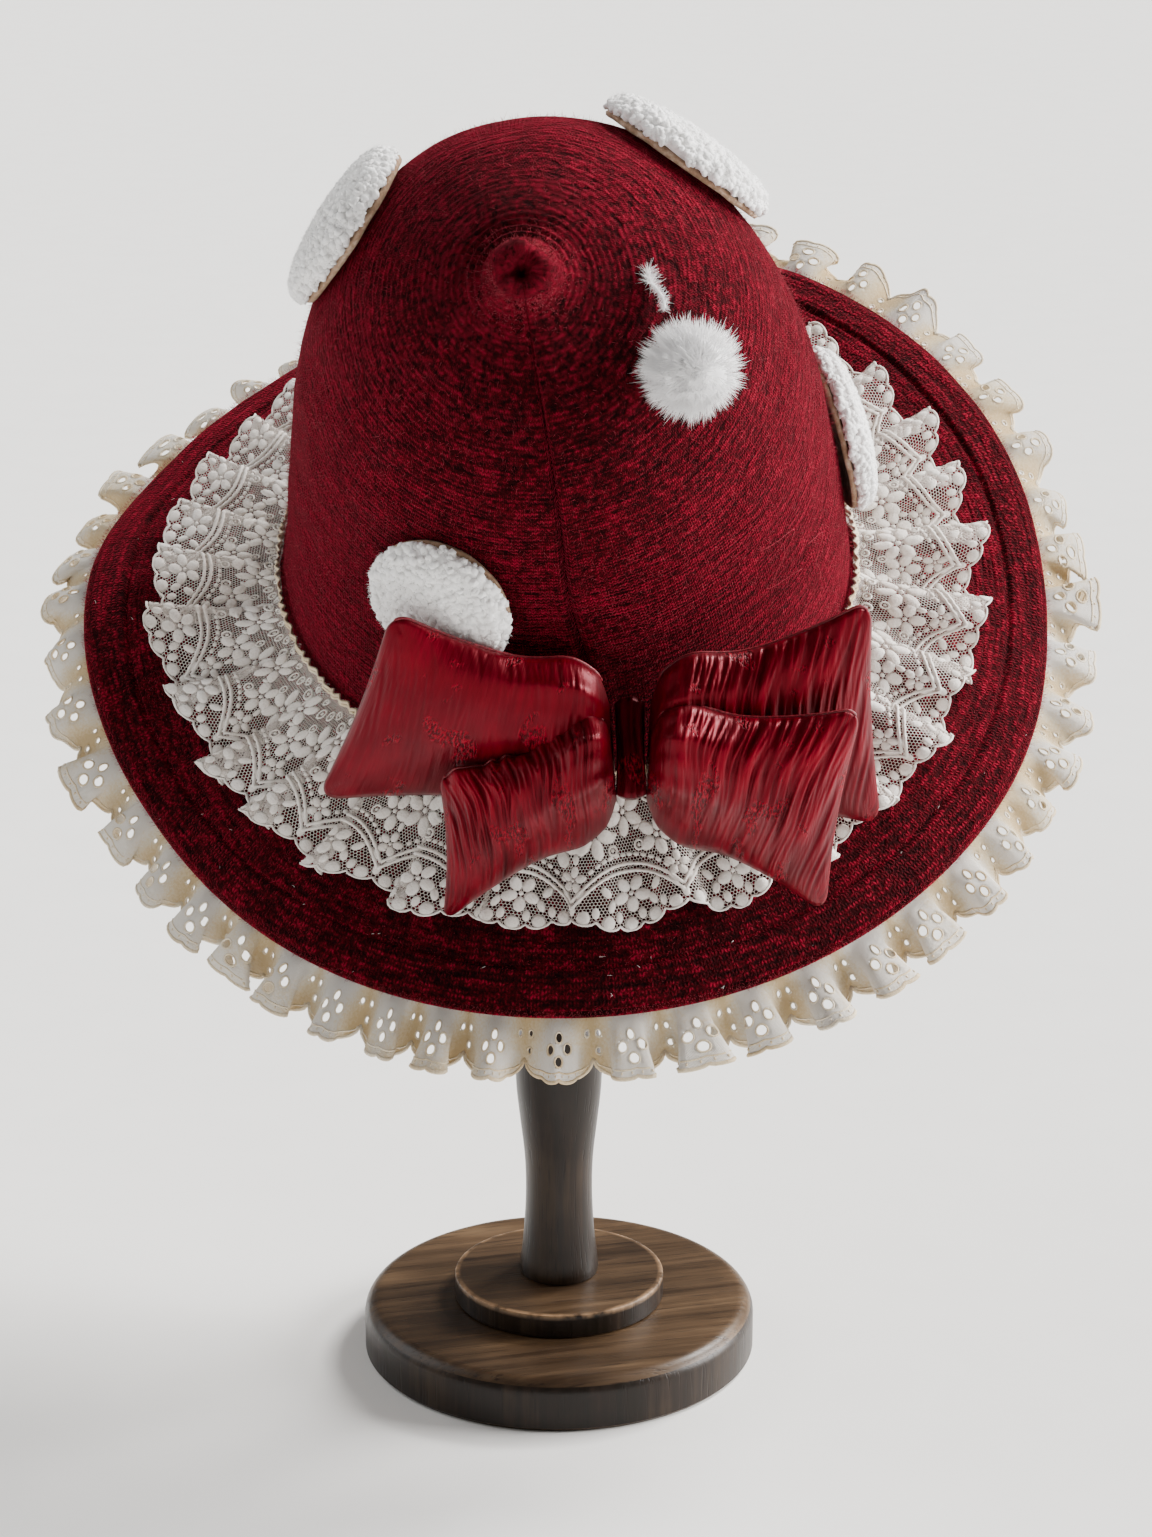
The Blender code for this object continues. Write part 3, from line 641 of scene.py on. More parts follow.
def make_looks():
    knit_results = ("Height", "Yarn", "Felt", "Loose", "Dashes")
    stitches = effect("knit_stitches", ("Place", "Felt place"), {}, knit_results, make_stitches)
    net = effect("six_sided_net", ("Place",), {"Scale": 1.0, "Opening": 0.4}, ("Threads",), make_net)
    weave = effect("fine_weave", ("Place",), {"Scale": 1.0}, ("Height", "Slub"), make_weave)
    grain = effect("wood_grain", ("Place",), {"Clouds": 0.3}, ("Tone", "Pore", "Streaks"), make_grain)
    looks = {}

    look, tree = new_look("crimson_knit")
    knit = use(tree, stitches, Place=places(tree, "UV"), Felt_place=places(tree))
    # Painted shade: the knit's colour is darker between its stitches and in the grooves of its dashes.
    tone = times_plus(tree, knit["Yarn"], 0.42, times(tree, knit["Felt"], 0.80))
    tone = times_plus(tree, knit["Loose"], 0.40, tone)
    tone = times_plus(tree, knit["Dashes"], 0.32, tone)
    # Painted shade: the knit's colour is darkened along the crown's seam, where its groove lies.
    stitch = axes(tree, places(tree, "UV"))[0]
    last = calc(tree, "ABSOLUTE", calc(tree, "SUBTRACT", stitch, STITCHES))
    seam = calc(tree, "MINIMUM", calc(tree, "ABSOLUTE", stitch), last)
    tone = times_plus(tree, remap(tree, seam, 0.25, 0.95, 1.0, 0.0), -0.7, tone)
    colour = shades(
        tree,
        remap(tree, tone, 0.47, 1.10),
        (0.0, (0.004, 0.0001, 0.0003)),
        (0.35, (0.022, 0.0001, 0.0011)),
        (0.65, (0.070, 0.0003, 0.0040)),
        (1.0, (0.260, 0.0040, 0.0220)),
    )
    normal = bumped(tree, knit["Height"], 1.1 * MM, 1.0)
    looks["knit"] = finish(
        look, colour, remap(tree, knit["Felt"], 0, 1, 0.85, 1.0), normal,
        Sheen_Weight=0.40, Sheen_Roughness=0.34, Sheen_Tint=(1.0, 0.03, 0.10, 1), Specular_IOR_Level=0.06,
    )

    looks["fibre"] = plain_look(
        "crimson_fibre", (500, 2), (0.16, 0.002, 0.010), (0.42, 0.025, 0.050), (0.7, 0.9),
        Specular_IOR_Level=0.15, Sheen_Weight=0.3, Sheen_Tint=(1.0, 0.3, 0.35, 1),
    )
    looks["lint"] = plain_look("white_lint", (300, 2), (0.55, 0.50, 0.47), (0.80, 0.77, 0.74), (0.7, 0.95))
    looks["piping"] = plain_look(
        "crimson_piping", (900, 2, 0.6), (0.07, 0.0005, 0.003), (0.26, 0.005, 0.018), (0.35, 0.6),
        bump=(0.3 * MM, 0.7),
    )
    looks["fur"] = plain_look(
        "white_fur", (600, 2, 0.6), (0.90, 0.89, 0.90), (0.98, 0.97, 0.97), (0.6, 0.85),
        Sheen_Weight=0.2, Specular_IOR_Level=0.25,
    )

    look, tree = new_look("ivory_net")
    flat = places(tree, "UV")
    threads = use(tree, net, Place=flat, Scale=1 / (1.2 * MM), Opening=0.435)["Threads"]
    age = mottle(tree, places(tree), 40, 2)
    colour = shades(tree, age, (0.3, (0.58, 0.51, 0.46)), (0.7, (0.72, 0.66, 0.61)))
    rough = remap(tree, age, 0, 1, 0.8, 0.95)
    looks["net"] = finish(look, colour, rough, alpha=threads, Specular_IOR_Level=0.2)

    look, tree = new_look("ivory_embroidery")
    flat = places(tree)
    satin = mottle(tree, flat, 1400, 3, 0.7)
    tufts = mottle(tree, flat, 420, 3, 0.6)
    age = mottle(tree, flat, 28, 2)
    tone = times_plus(tree, satin, 0.45, times_plus(tree, tufts, 0.25, times(tree, age, 0.5)))
    colour = shades(
        tree, remap(tree, tone, 0.35, 0.85),
        (0.0, (0.56, 0.48, 0.41)), (0.4, (0.78, 0.72, 0.66)), (1.0, (0.94, 0.92, 0.89)),
    )
    height = times_plus(tree, satin, 0.7, tufts)
    looks["embroidery"] = finish(
        look, colour, remap(tree, satin, 0, 1, 0.65, 0.95), bumped(tree, height, 0.5 * MM, 0.8),
        Sheen_Weight=0.25, Specular_IOR_Level=0.25,
    )

    look, tree = new_look("cream_eyelet")
    flat = places(tree, "UV")
    cotton = use(tree, weave, Place=flat, Scale=2 * pi / (0.55 * MM))
    body = places(tree)
    tan = mottle(tree, body, 26, 3, 0.55)
    # Painted shade and light: the trim turns tan in its folds' valleys, for the shade there and the light
    # through the cotton.
    tone = times_plus(tree, attribute(tree, "valley"), 0.42, times_plus(tree, cotton["Slub"], 0.35, tan))
    tone = remap(tree, tone, 0.48, 1.05)
    colour = shades(
        tree, tone,
        (0.0, (0.86, 0.83, 0.78)), (0.45, (0.82, 0.76, 0.67)),
        (0.75, (0.76, 0.61, 0.38)), (1.0, (0.66, 0.48, 0.25)),
    )
    height = times_plus(tree, mottle(tree, body, 260, 3, 0.6), 1.6, cotton["Height"])
    looks["eyelet"] = finish(
        look, colour, remap(tree, cotton["Slub"], 0, 1, 0.75, 0.95), bumped(tree, height, 0.35 * MM, 0.8),
        Specular_IOR_Level=0.25, Sheen_Weight=0.15,
    )

    look, tree = new_look("tan_edging")
    body = places(tree)
    satin = mottle(tree, body, 1500, 2, 0.6)
    tan = mottle(tree, body, 30, 2)
    colour = shades(
        tree, times_plus(tree, satin, 0.4, times(tree, tan, 0.7)),
        (0.3, (0.82, 0.76, 0.66)), (0.55, (0.70, 0.58, 0.40)), (0.75, (0.55, 0.40, 0.22)),
    )
    looks["edging"] = finish(
        look, colour, remap(tree, satin, 0, 1, 0.55, 0.85), bumped(tree, satin, 0.4 * MM, 0.8),
        Specular_IOR_Level=0.3,
    )

    look, tree = new_look("crimson_satin")
    flat = places(tree, "UV")
    body = places(tree)
    crinkle = mottle(tree, flat, 520, 3, 0.55, stretch=(1.0, 0.10, 1.0))
    figure = mottle(tree, flat, 55, 2, 0.5)
    figured = remap(tree, figure, 0.58, 0.62)
    pebbles = mottle(tree, flat, 1300, 2, 0.5, stretch=(1.0, 0.45, 1.0))
    weft = times(tree, remap(tree, pebbles, 0.4, 0.6, -0.5, 0.7), figured)
    # Painted shade and light: the crinkles' valleys are darker and their ridges lighter in the satin's colour.
    # This comes from the bump's noise and from each wing's crinkle heights.
    tone = times_plus(tree, crinkle, 0.16, times(tree, weft, 0.55))
    tone = times_plus(tree, attribute(tree, "crinkle"), 0.34, tone)
    tone = times_plus(tree, mottle(tree, body, 60, 3), 0.35, tone)
    colour = shades(
        tree, remap(tree, tone, 0.16, 0.70),
        (0.0, (0.018, 0.0001, 0.0010)), (0.5, (0.082, 0.0002, 0.0045)), (1.0, (0.220, 0.0010, 0.0120)),
    )
    height = times_plus(tree, weft, 0.5, crinkle)
    rough = remap(tree, calc(tree, "ADD", crinkle, times(tree, weft, 0.5)), 0.3, 1.1, 0.30, 0.50)
    looks["satin"] = finish(
        look, colour, rough, bumped(tree, height, 0.45 * MM, 0.9),
        Specular_IOR_Level=0.46, Specular_Tint=(1, 0.08, 0.13, 1), Anisotropic=0.5,
    )

    look, tree = new_look("white_fleece")
    body = places(tree)
    wool = mottle(tree, body, 700, 3, 0.65)
    curl = mottle(tree, body, 160, 2, 0.5)
    tone = times_plus(tree, wool, 0.5, times(tree, curl, 0.6))
    colour = shades(
        tree, tone, (0.25, (0.86, 0.83, 0.81)), (0.5, (0.95, 0.94, 0.93)), (0.8, (0.98, 0.975, 0.97)),
    )
    looks["fleece"] = finish(
        look, colour, remap(tree, wool, 0, 1, 0.85, 1.0), bumped(tree, wool, 0.4 * MM, 0.8),
        Sheen_Weight=0.4, Specular_IOR_Level=0.1,
    )

    look, tree = new_look("tan_backing")
    body = places(tree)
    nap = mottle(tree, body, 420, 4, 0.7)
    pile = mottle(tree, body, 90, 3, 0.6)
    tone = times_plus(tree, nap, 0.6, times(tree, pile, 0.5))
    colour = shades(
        tree, tone, (0.35, (0.17, 0.10, 0.06)), (0.55, (0.34, 0.22, 0.14)), (0.75, (0.62, 0.48, 0.37)),
    )
    looks["backing"] = finish(
        look, colour, remap(tree, nap, 0, 1, 0.85, 1.0), bumped(tree, nap, 0.5 * MM, 0.9),
        Sheen_Weight=0.06, Specular_IOR_Level=0.12,
    )

    # Painted shade: the walnut of the upright faces is several times darker than that of the flat faces, for
    # the shade on the stand's sides.
    flat_tones = ((0.009, 0.005, 0.003), (0.030, 0.017, 0.009), (0.070, 0.041, 0.021), (0.138, 0.086, 0.046))
    shaded_upright_tones = ((0.003, 0.002, 0.001), (0.006, 0.004, 0.002), (0.014, 0.008, 0.005), (0.034, 0.021, 0.012))
    for name, turned, clouds, tones in (
        ("walnut_flat", (0, 0, radians(-14)), 0.40, flat_tones),
        ("walnut_upright", (0, radians(90), 0), 0.55, shaded_upright_tones),
    ):
        look, tree = new_look(name)
        mapping = tree.nodes.new("ShaderNodeMapping")
        feed(tree, mapping.inputs["Vector"], places(tree))
        mapping.inputs["Rotation"].default_value = turned
        wood = use(tree, grain, Place=mapping.outputs[0], Clouds=clouds)
        patchy = remap(tree, mottle(tree, places(tree), 160, 3), 0.35, 0.6)
        # A lighter brown along the listed edges.
        edge = times(tree, attribute(tree, "worn"), patchy)
        colour = shades(tree, remap(tree, wood["Tone"], 0.42, 0.95), *zip((0.0, 0.35, 0.7, 1.0), tones))
        pore = times(tree, calc(tree, "SUBTRACT", 1.0, wood["Pore"]), 0.6)
        colour = mix(tree, pore, colour, (0.008, 0.004, 0.003))
        colour = mix(tree, edge, colour, (0.36, 0.22, 0.12))
        rough = remap(tree, wood["Streaks"], 0.3, 0.7, 0.30, 0.44)
        looks[name] = finish(
            look, colour, rough, bumped(tree, wood["Pore"], 0.12 * MM, 0.5),
            Coat_Weight=0.04, Coat_Roughness=0.25, Specular_IOR_Level=0.24,
        )

    look, tree = new_look("pale_floor")
    grit = mottle(tree, places(tree), 30, 2)
    colour = shades(tree, grit, (0.3, (0.84, 0.83, 0.81)), (0.7, (0.86, 0.85, 0.83)))
    looks["floor"] = finish(look, colour, 0.9)
    return looks


# Knitted crown and brim

# Heights of the knit's courses on the crown, in its tip's rings and on the brim, stitches
# round the crown and round the brim, and loose fibres.
COURSE = 1.9 * MM
RING_COURSE = 2.1 * MM
BRIM_COURSE = 2.1 * MM
STITCHES = 300
BRIM_STITCHES = 420
AWAY_FROM_SEAM = 1000
CROWN_FIBRES = 15000
BRIM_FIBRES = 13000
Row = namedtuple("Row", "height radius out rise course valley wall")
# The gathered tip: height, radius, valley.
TIP_ROWS = (
    (1.006, 0.084, 0), (1.011, 0.070, 0), (1.012, 0.056, 0), (1.008, 0.042, 1),
    (1.003, 0.030, 0), (0.986, 0.017, 0), (0.974, 0.000, 0),
)


def crown_rows():
    """The crown's rows from inside its tip down its inner wall, then up its courses."""
    steps = 400
    shares = [step / steps for step in range(steps + 1)]
    table = [(share, between(CROWN_SECTIONS, "radius", share, "height")) for share in shares]
    runs, slopes = [0.0], []
    for (low, inner), (high, outer) in zip(table, table[1:]):
        rise, out = CROWN_LENGTH * (high - low), CROWN_RADIUS * (outer - inner)
        length = sqrt(rise * rise + out * out)
        runs.append(runs[-1] + length)
        slopes.append((rise / length, -out / length))
    slopes.append(slopes[-1])

    def row(run, course, valley, wall=0.0):
        index = float(np.interp(run, runs, range(len(runs))))
        near = min(int(index + 0.5), steps)
        height = index / steps
        radius = between(CROWN_SECTIONS, "radius", height, "height")
        return Row(height, radius, *slopes[near], course, valley, wall)

    inner = [Row(0.955, 0.0, 0, 1, 0, 0, CROWN_WALL), Row(0.950, 0.03, 0.2, 0.98, 0, 0, CROWN_WALL * 0.5)]
    inner += [row(runs[-1] * share, 0, 0, CROWN_WALL) for share in np.linspace(0.86, 0.0, 30)]
    outer = []
    run, course = 0.0, 0
    while run < runs[-1] - RING_COURSE:
        ring = float(np.interp(run, (runs[330], runs[350]), (0, 1)))
        pitch = blend(COURSE, RING_COURSE, ring)
        for share, valley in ((0.0, 1.0), (0.3, 0.0), (0.72, 0.0)):
            outer.append(row(run + share * pitch, course + share, valley * (1 + 0.2 * ring)))
        run += pitch
        course += 1
    tip = [Row(height, radius, 0.3, 0.95, course + 1, valley, 0) for height, radius, valley in TIP_ROWS]
    return inner + outer + tip


def crown_point(azimuth, row, lift):
    centre, (across, back, along) = crown_section(row.height)
    reach = CROWN_RADIUS * row.radius + lift * row.out
    turn = radians(azimuth)
    return centre + across * (reach * cos(turn)) + back * (reach * sin(turn)) + along * (lift * row.rise)


def build_crown(looks):
    rows = crown_rows()
    near = [0, 0.32, 0.65, 1.05, 1.6, 2.7, 4.4]
    rest = np.linspace(7.0, 353.0, 112)
    offsets = near + list(rest) + [360 - offset for offset in reversed(near[1:])]
    columns = len(offsets)

    def place(column, index):
        row = rows[index]
        offset = offsets[column]
        off = min(offset, 360 - offset)
        sway = (1.3 * sin(row.height * 8 + 0.5) - 0.8) * exp(-((off / 14) ** 2))
        azimuth = SEAM_AZIMUTH + offset + sway
        if row.wall:
            return crown_point(azimuth, row, -row.wall)
        turn = radians(azimuth)
        spot = Vector((cos(turn) * 4, sin(turn) * 4, row.height * 14))
        patchy = noise.noise(Vector((cos(turn) * 14, sin(turn) * 14, row.height * 60)))
        depth = 0.15 * MM * (0.7 + 1.6 * noise.noise(spot) + 1.1 * patchy)
        lift = -row.valley * max(depth, 0.05 * MM)
        open_seam = min(1.0, row.radius / 0.25)
        lift -= 2.1 * MM * exp(-((off / 0.62) ** 2)) * open_seam
        lift += 0.6 * MM * exp(-(((off - 2.1) / 1.1) ** 2)) * open_seam
        lift += 0.55 * MM * noise.noise(spot * 0.8) * min(1.0, row.radius / 0.5)
        run = row.radius * CROWN_RADIUS / (2.5 * MM)
        ringed = exp(-(((row.radius - 0.155) / 0.055) ** 2))
        ringed *= 0.12 + exp(-(((azimuth % 360 - 120) / 60) ** 2))
        lift += 0.95 * MM * ringed * cos(2 * pi * run)
        if row.radius < 0.13:
            gathered = min(1.0, (0.13 - row.radius) / 0.04)
            crumple = noise.noise(Vector((cos(turn) * 1.6, sin(turn) * 1.6, row.height * 9)))
            waves = 0.9 * sin(2 * turn + row.height * 60) + 0.5 * sin(5 * turn + 1.3)
            lift += gathered * MM * (waves + 2.2 * crumple)
            lift += gathered * 1.1 * MM * noise.noise(Vector((cos(turn) * 5, sin(turn) * 5, row.height * 90)))
        return crown_point(azimuth, row, lift)

    def flat(column, index):
        share = (offsets[column] if column < columns else 360) / 360
        return share * STITCHES, rows[index].course

    bm = mapped_grid(columns, len(rows) - 1, place, flat)
    bm.transform(HAT_FRAME)
    piece("knitted_crown", bm, [looks["knit"]], ["crown"])


def build_brim(looks):
    """Underside from the crown out, round the rim, and back over the courses of the top."""
    rows = [(share, "under", 0) for share in np.linspace(0.0, 0.97, 16)]
    rows += [(0.995, "rim", -0.75), (1.008, "rim", -0.5), (0.995, "rim", -0.2)]
    top = []
    along, count = 0.0, 0
    while along < BRIM_WIDTH - 2 * MM:
        for share, valley in ((0.0, 1.0), (0.33, 0.0), (0.7, 0.0)):
            top.append((along + share * BRIM_COURSE, "top", valley, count + share))
        along += BRIM_COURSE
        count += 1
    for run, kind, valley, number in reversed(top):
        rows.append((min(run / BRIM_WIDTH, 0.985), kind, valley, number))
    columns = 270

    def place(column, index):
        share, kind, depth = rows[index][:3]
        azimuth = 360 * column / columns
        width = brim_width(azimuth)
        turn = radians(azimuth)
        spot = Vector((cos(turn) * 3, sin(turn) * 3, share * 3))
        ripple = 0.7 * MM * noise.noise(spot) * share + 0.35 * MM * noise.noise(spot * 4)
        if kind == "under":
            return brim_at(azimuth, share * width, ripple - BRIM_WALL)
        if kind == "rim":
            return brim_at(azimuth, width - 1.2 * MM + (share - 0.995) * width, ripple + depth * BRIM_WALL)
        past_hem = share * width - (width - HEM_WIDTH)
        hem = 0.5 * MM / (1 + exp(-past_hem / (0.5 * MM)))
        groove = 1.1 * MM * exp(-((past_hem / (0.8 * MM)) ** 2))
        ridge = 0.42 * MM * depth * (0.8 + 0.8 * noise.noise(spot * 2.5)) if past_hem < 0 else 0.10 * MM * depth
        edge = 1.0 * MM * max(0.0, (share - 0.955) / 0.03) ** 2
        return brim_at(azimuth, share * (width - 1.2 * MM), ripple + hem - groove - ridge - edge)

    def flat(column, index):
        entry = rows[index % len(rows)]
        course = entry[3] if len(entry) > 3 else entry[0] * BRIM_WIDTH / BRIM_COURSE
        return AWAY_FROM_SEAM + column / columns * BRIM_STITCHES, course

    bm = mapped_grid(columns, len(rows), place, flat, wrap_rows=True)
    bm.transform(HAT_FRAME)
    piece("knitted_brim", bm, [looks["knit"]], ["brim"])


def build_fuzz(looks):
    """Loose wool fibres that stand off the knit."""
    shapes = [fibre_shape(1), fibre_shape(2, 0.5)]
    draw = random.Random(11)

    def on_crown():
        height = draw.random() ** 0.9
        radius = between(CROWN_SECTIONS, "radius", height, "height")
        if height < 0.93 and draw.random() > radius:
            return None
        azimuth = draw.uniform(0, 360)
        here = crown_at(azimuth, height, radius)
        out = crown_at(azimuth, height, radius, 1 * MM) - here
        out = out.normalized() + crown_section(height)[1][2] * (0.1 + 1.2 * (1 - radius) ** 2)
        direction = out.normalized() + drawn_vector(draw) * 0.55
        return here, direction, draw.uniform(0.9, 2.6) * MM * (1.7 if draw.random() < 0.06 else 1)

    def on_brim():
        azimuth = draw.uniform(0, 360)
        width = brim_width(azimuth)
        rim = draw.random() < 0.42
        along = width - draw.uniform(0, 2.5) * MM if rim else width * draw.uniform(0.45, 1) ** 0.7
        up = (brim_at(azimuth, along, 1 * MM) - brim_at(azimuth, along)).normalized()
        turn = radians(azimuth)
        out = Vector((cos(turn), sin(turn), 0)) * (1.2 if rim else 0.1)
        direction = up + out + drawn_vector(draw) * 0.5
        return brim_at(azimuth, along, -0.4 * MM), direction, draw.uniform(0.8, 2.0) * MM

    for name, count, root in (("crown_fuzz", CROWN_FIBRES, on_crown), ("brim_fuzz", BRIM_FIBRES, on_brim)):
        homes = []
        while len(homes) < count:
            rooted = root()
            if rooted:
                here, direction, length = rooted
                home = (here, direction.normalized(), length, 0.13 * MM)
                homes.append((draw.randrange(2), pointing(*home, draw.uniform(0, 6))))
        planted(name, shapes, homes, looks["fibre"], HAT_FRAME)


def build_lint(looks):
    """White specks on the brim and a few long hairs caught on the crown."""
    draw = random.Random(5)
    homes = []
    for _ in range(46):
        azimuth = draw.uniform(150, 350)
        along = brim_width(azimuth) * draw.uniform(0.72, 0.97)
        here = brim_at(azimuth, along, 0.3 * MM)
        flat = Vector((draw.gauss(0, 1), draw.gauss(0, 1), draw.gauss(0, 0.3)))
        homes.append((0, pointing(here, flat.normalized(), draw.uniform(0.8, 2.2) * MM, 0.22 * MM)))
    planted("lint_specks", [fibre_shape(2, 0.4)], homes, looks["lint"], HAT_FRAME)
    bm = bmesh.new()
    for start, low, rise, spread in (
        (318, 0.42, 26 * MM, 9), (326, 0.36, 20 * MM, -7), (332, 0.30, 24 * MM, 5),
    ):
        path = []
        for share in np.linspace(0, 1, 15):
            azimuth = start + spread * sin(3.2 * share) + 2 * sin(9 * share + start)
            lift = 0.6 * MM + 0.5 * MM * sin(7 * share)
            path.append(crown_at(azimuth, low - share * rise / CROWN_LENGTH, lift=lift))
        tube(bm, path, 0.07 * MM, 4)
    bm.transform(HAT_FRAME)
    piece("caught_hairs", bm, [looks["fibre"]])


# Gathered cloths


class Gathered:
    """A long cloth gathered round the hat: where each place of the flat cloth lies."""

    def __init__(self, place, folds, finer, widths, gauge, even=False):
        columns = folds * finer
        grid = [[place(4 * step / finer, width) for width in widths] for step in range(columns)]
        self.points = np.array(grid + grid[:1])
        self.widths = np.array(widths)
        middle = self.points[:, gauge]
        steps = np.linalg.norm(np.diff(middle, axis=0), axis=1)
        self.runs = np.concatenate(([0.0], np.cumsum(steps)))
        self.length = float(self.runs[-1])
        if even:
            starts = self.runs[::finer]
            share = np.arange(len(self.runs)) // finer
            share = np.minimum(share, folds - 1)
            within = (self.runs - starts[share]) / (starts[share + 1] - starts[share])
            self.runs = (share + within) * self.length / folds
        around = np.roll(self.points[:-1], -1, axis=0) - np.roll(self.points[:-1], 1, axis=0)
        around = np.concatenate((around, around[:1]))
        outward = np.gradient(self.points, axis=1)
        normal = np.cross(outward, around)
        self.normals = normal / np.maximum(np.linalg.norm(normal, axis=2, keepdims=True), 1e-12)

    def at(self, run, width, lift):
        column = np.interp(run % self.length, self.runs, np.arange(len(self.runs)))
        row = np.interp(width, self.widths, np.arange(len(self.widths)))
        i = np.clip(column.astype(int), 0, len(self.runs) - 2)
        j = np.clip(row.astype(int), 0, len(self.widths) - 2)
        a, b = (column - i)[:, None], (row - j)[:, None]

        def read(grid):
            low = grid[i, j] * (1 - a) + grid[i + 1, j] * a
            high = grid[i, j + 1] * (1 - a) + grid[i + 1, j + 1] * a
            return low * (1 - b) + high * b

        normal = read(self.normals)
        normal /= np.maximum(np.linalg.norm(normal, axis=1, keepdims=True), 1e-12)
        return read(self.points) + normal * lift[:, None]

    def lay(self, mesh):
        """Lays a mesh that was modelled flat (along, across, up) on the cloth, in the world."""
        world = np.array(HAT_FRAME)
        laid = self.at(*corners_of(mesh).T) @ world[:3, :3].T + world[:3, 3]
        mesh.vertices.foreach_set("co", laid.ravel())
        mesh.flip_normals()
        mesh.update()


def lace_place(column, width):
    """Where the lace's corner lies: column counts quarters of a fold."""
    share = column / (4 * LACE_FOLDS)
    spread = width / LACE_WIDTH
    azimuth = fold_azimuth(share, 1.3)
    phase = 2 * pi * (column - 1) / 4
    crest = 0.5 + 0.5 * cos(phase)
    tall = between(LACE_FOLD_TABLE, "height", azimuth, "azimuth", 360) * fold_height(share)
    lean = between(LACE_FOLD_TABLE, "lean", azimuth, "azimuth", 360)
    steep = between(LACE_FOLD_TABLE, "steep", azimuth, "azimuth", 360)
    grown = spread**0.85
    side = lean * crest + steep * sin(2 * phase) / 4
    gather = max(0.0, 1 - spread / 0.35) ** 2
    ripple = 0.5 + 0.5 * cos(5 * phase + 1.5 * sin(phase))
    lift = 0.9 * MM + 14 * MM * tall * crest * grown + 1.7 * MM * gather * ripple
    azimuth += side * grown * 360 / LACE_FOLDS
    flop = 1.2 * MM * sin(phase * 0.5 + 3 * share * 2 * pi) * spread
    return brim_at(azimuth, width - LACE_HEADING + flop, lift)


def lace_edge(run, repeat):
    """The lace's width at its scalloped edge."""
    share = run / repeat
    lobe = abs(sin(5 * pi * share)) ** 0.7
    return 56.2 * MM + 2.2 * MM * cos(2 * pi * (share - 0.5)) + 1.8 * MM * lobe


def dome(bm, place, length, width, height, turn=0.0, sides=8):
    """A flattened satin-stitch bump, longer along its own X."""
    frame = Matrix.Translation((*place, 0)) @ Matrix.Rotation(turn, 4, "Z")
    frame = frame @ Matrix.Diagonal((length / 2, width / 2, height, 1))
    made = bmesh.ops.create_uvsphere(bm, u_segments=sides, v_segments=4, radius=1, matrix=frame)
    return made["verts"]


def flower(bm, place, petals, size, turn=0.0):
    """Petals round a small middle, a little pointed outward."""
    for petal in range(petals):
        angle = turn + 2 * pi * petal / petals
        reach = size * 0.30
        middle = (place[0] + reach * cos(angle), place[1] + reach * sin(angle))
        verts = dome(bm, middle, size * 0.44, size * (1.62 / petals), 0.6 * MM, angle)
        for vert in verts:
            out = (vert.co.x - middle[0]) * cos(angle) + (vert.co.y - middle[1]) * sin(angle)
            if abs(out) < size * 0.02:
                vert.co.z -= 0.10 * MM
    dome(bm, place, size * 0.13, size * 0.13, 0.6 * MM)


def ring_of(place, radius, sides, height=0.0):
    turns = np.linspace(0, 2 * pi, sides + 1)[:-1]
    return [(place[0] + radius * cos(turn), place[1] + radius * sin(turn), height) for turn in turns]


def rosette(bm, place, size):
    tube(bm, ring_of(place, size * 0.36, 10, 0.1 * MM), size * 0.10, 4, 1.0, closed=True)
    dome(bm, place, size * 0.30, size * 0.30, 0.4 * MM, sides=6)


def lace_arch(share, shift=0.0):
    side = abs(2 * share - 1)
    return (38 + 11 * side**2.2) * MM + shift * MM


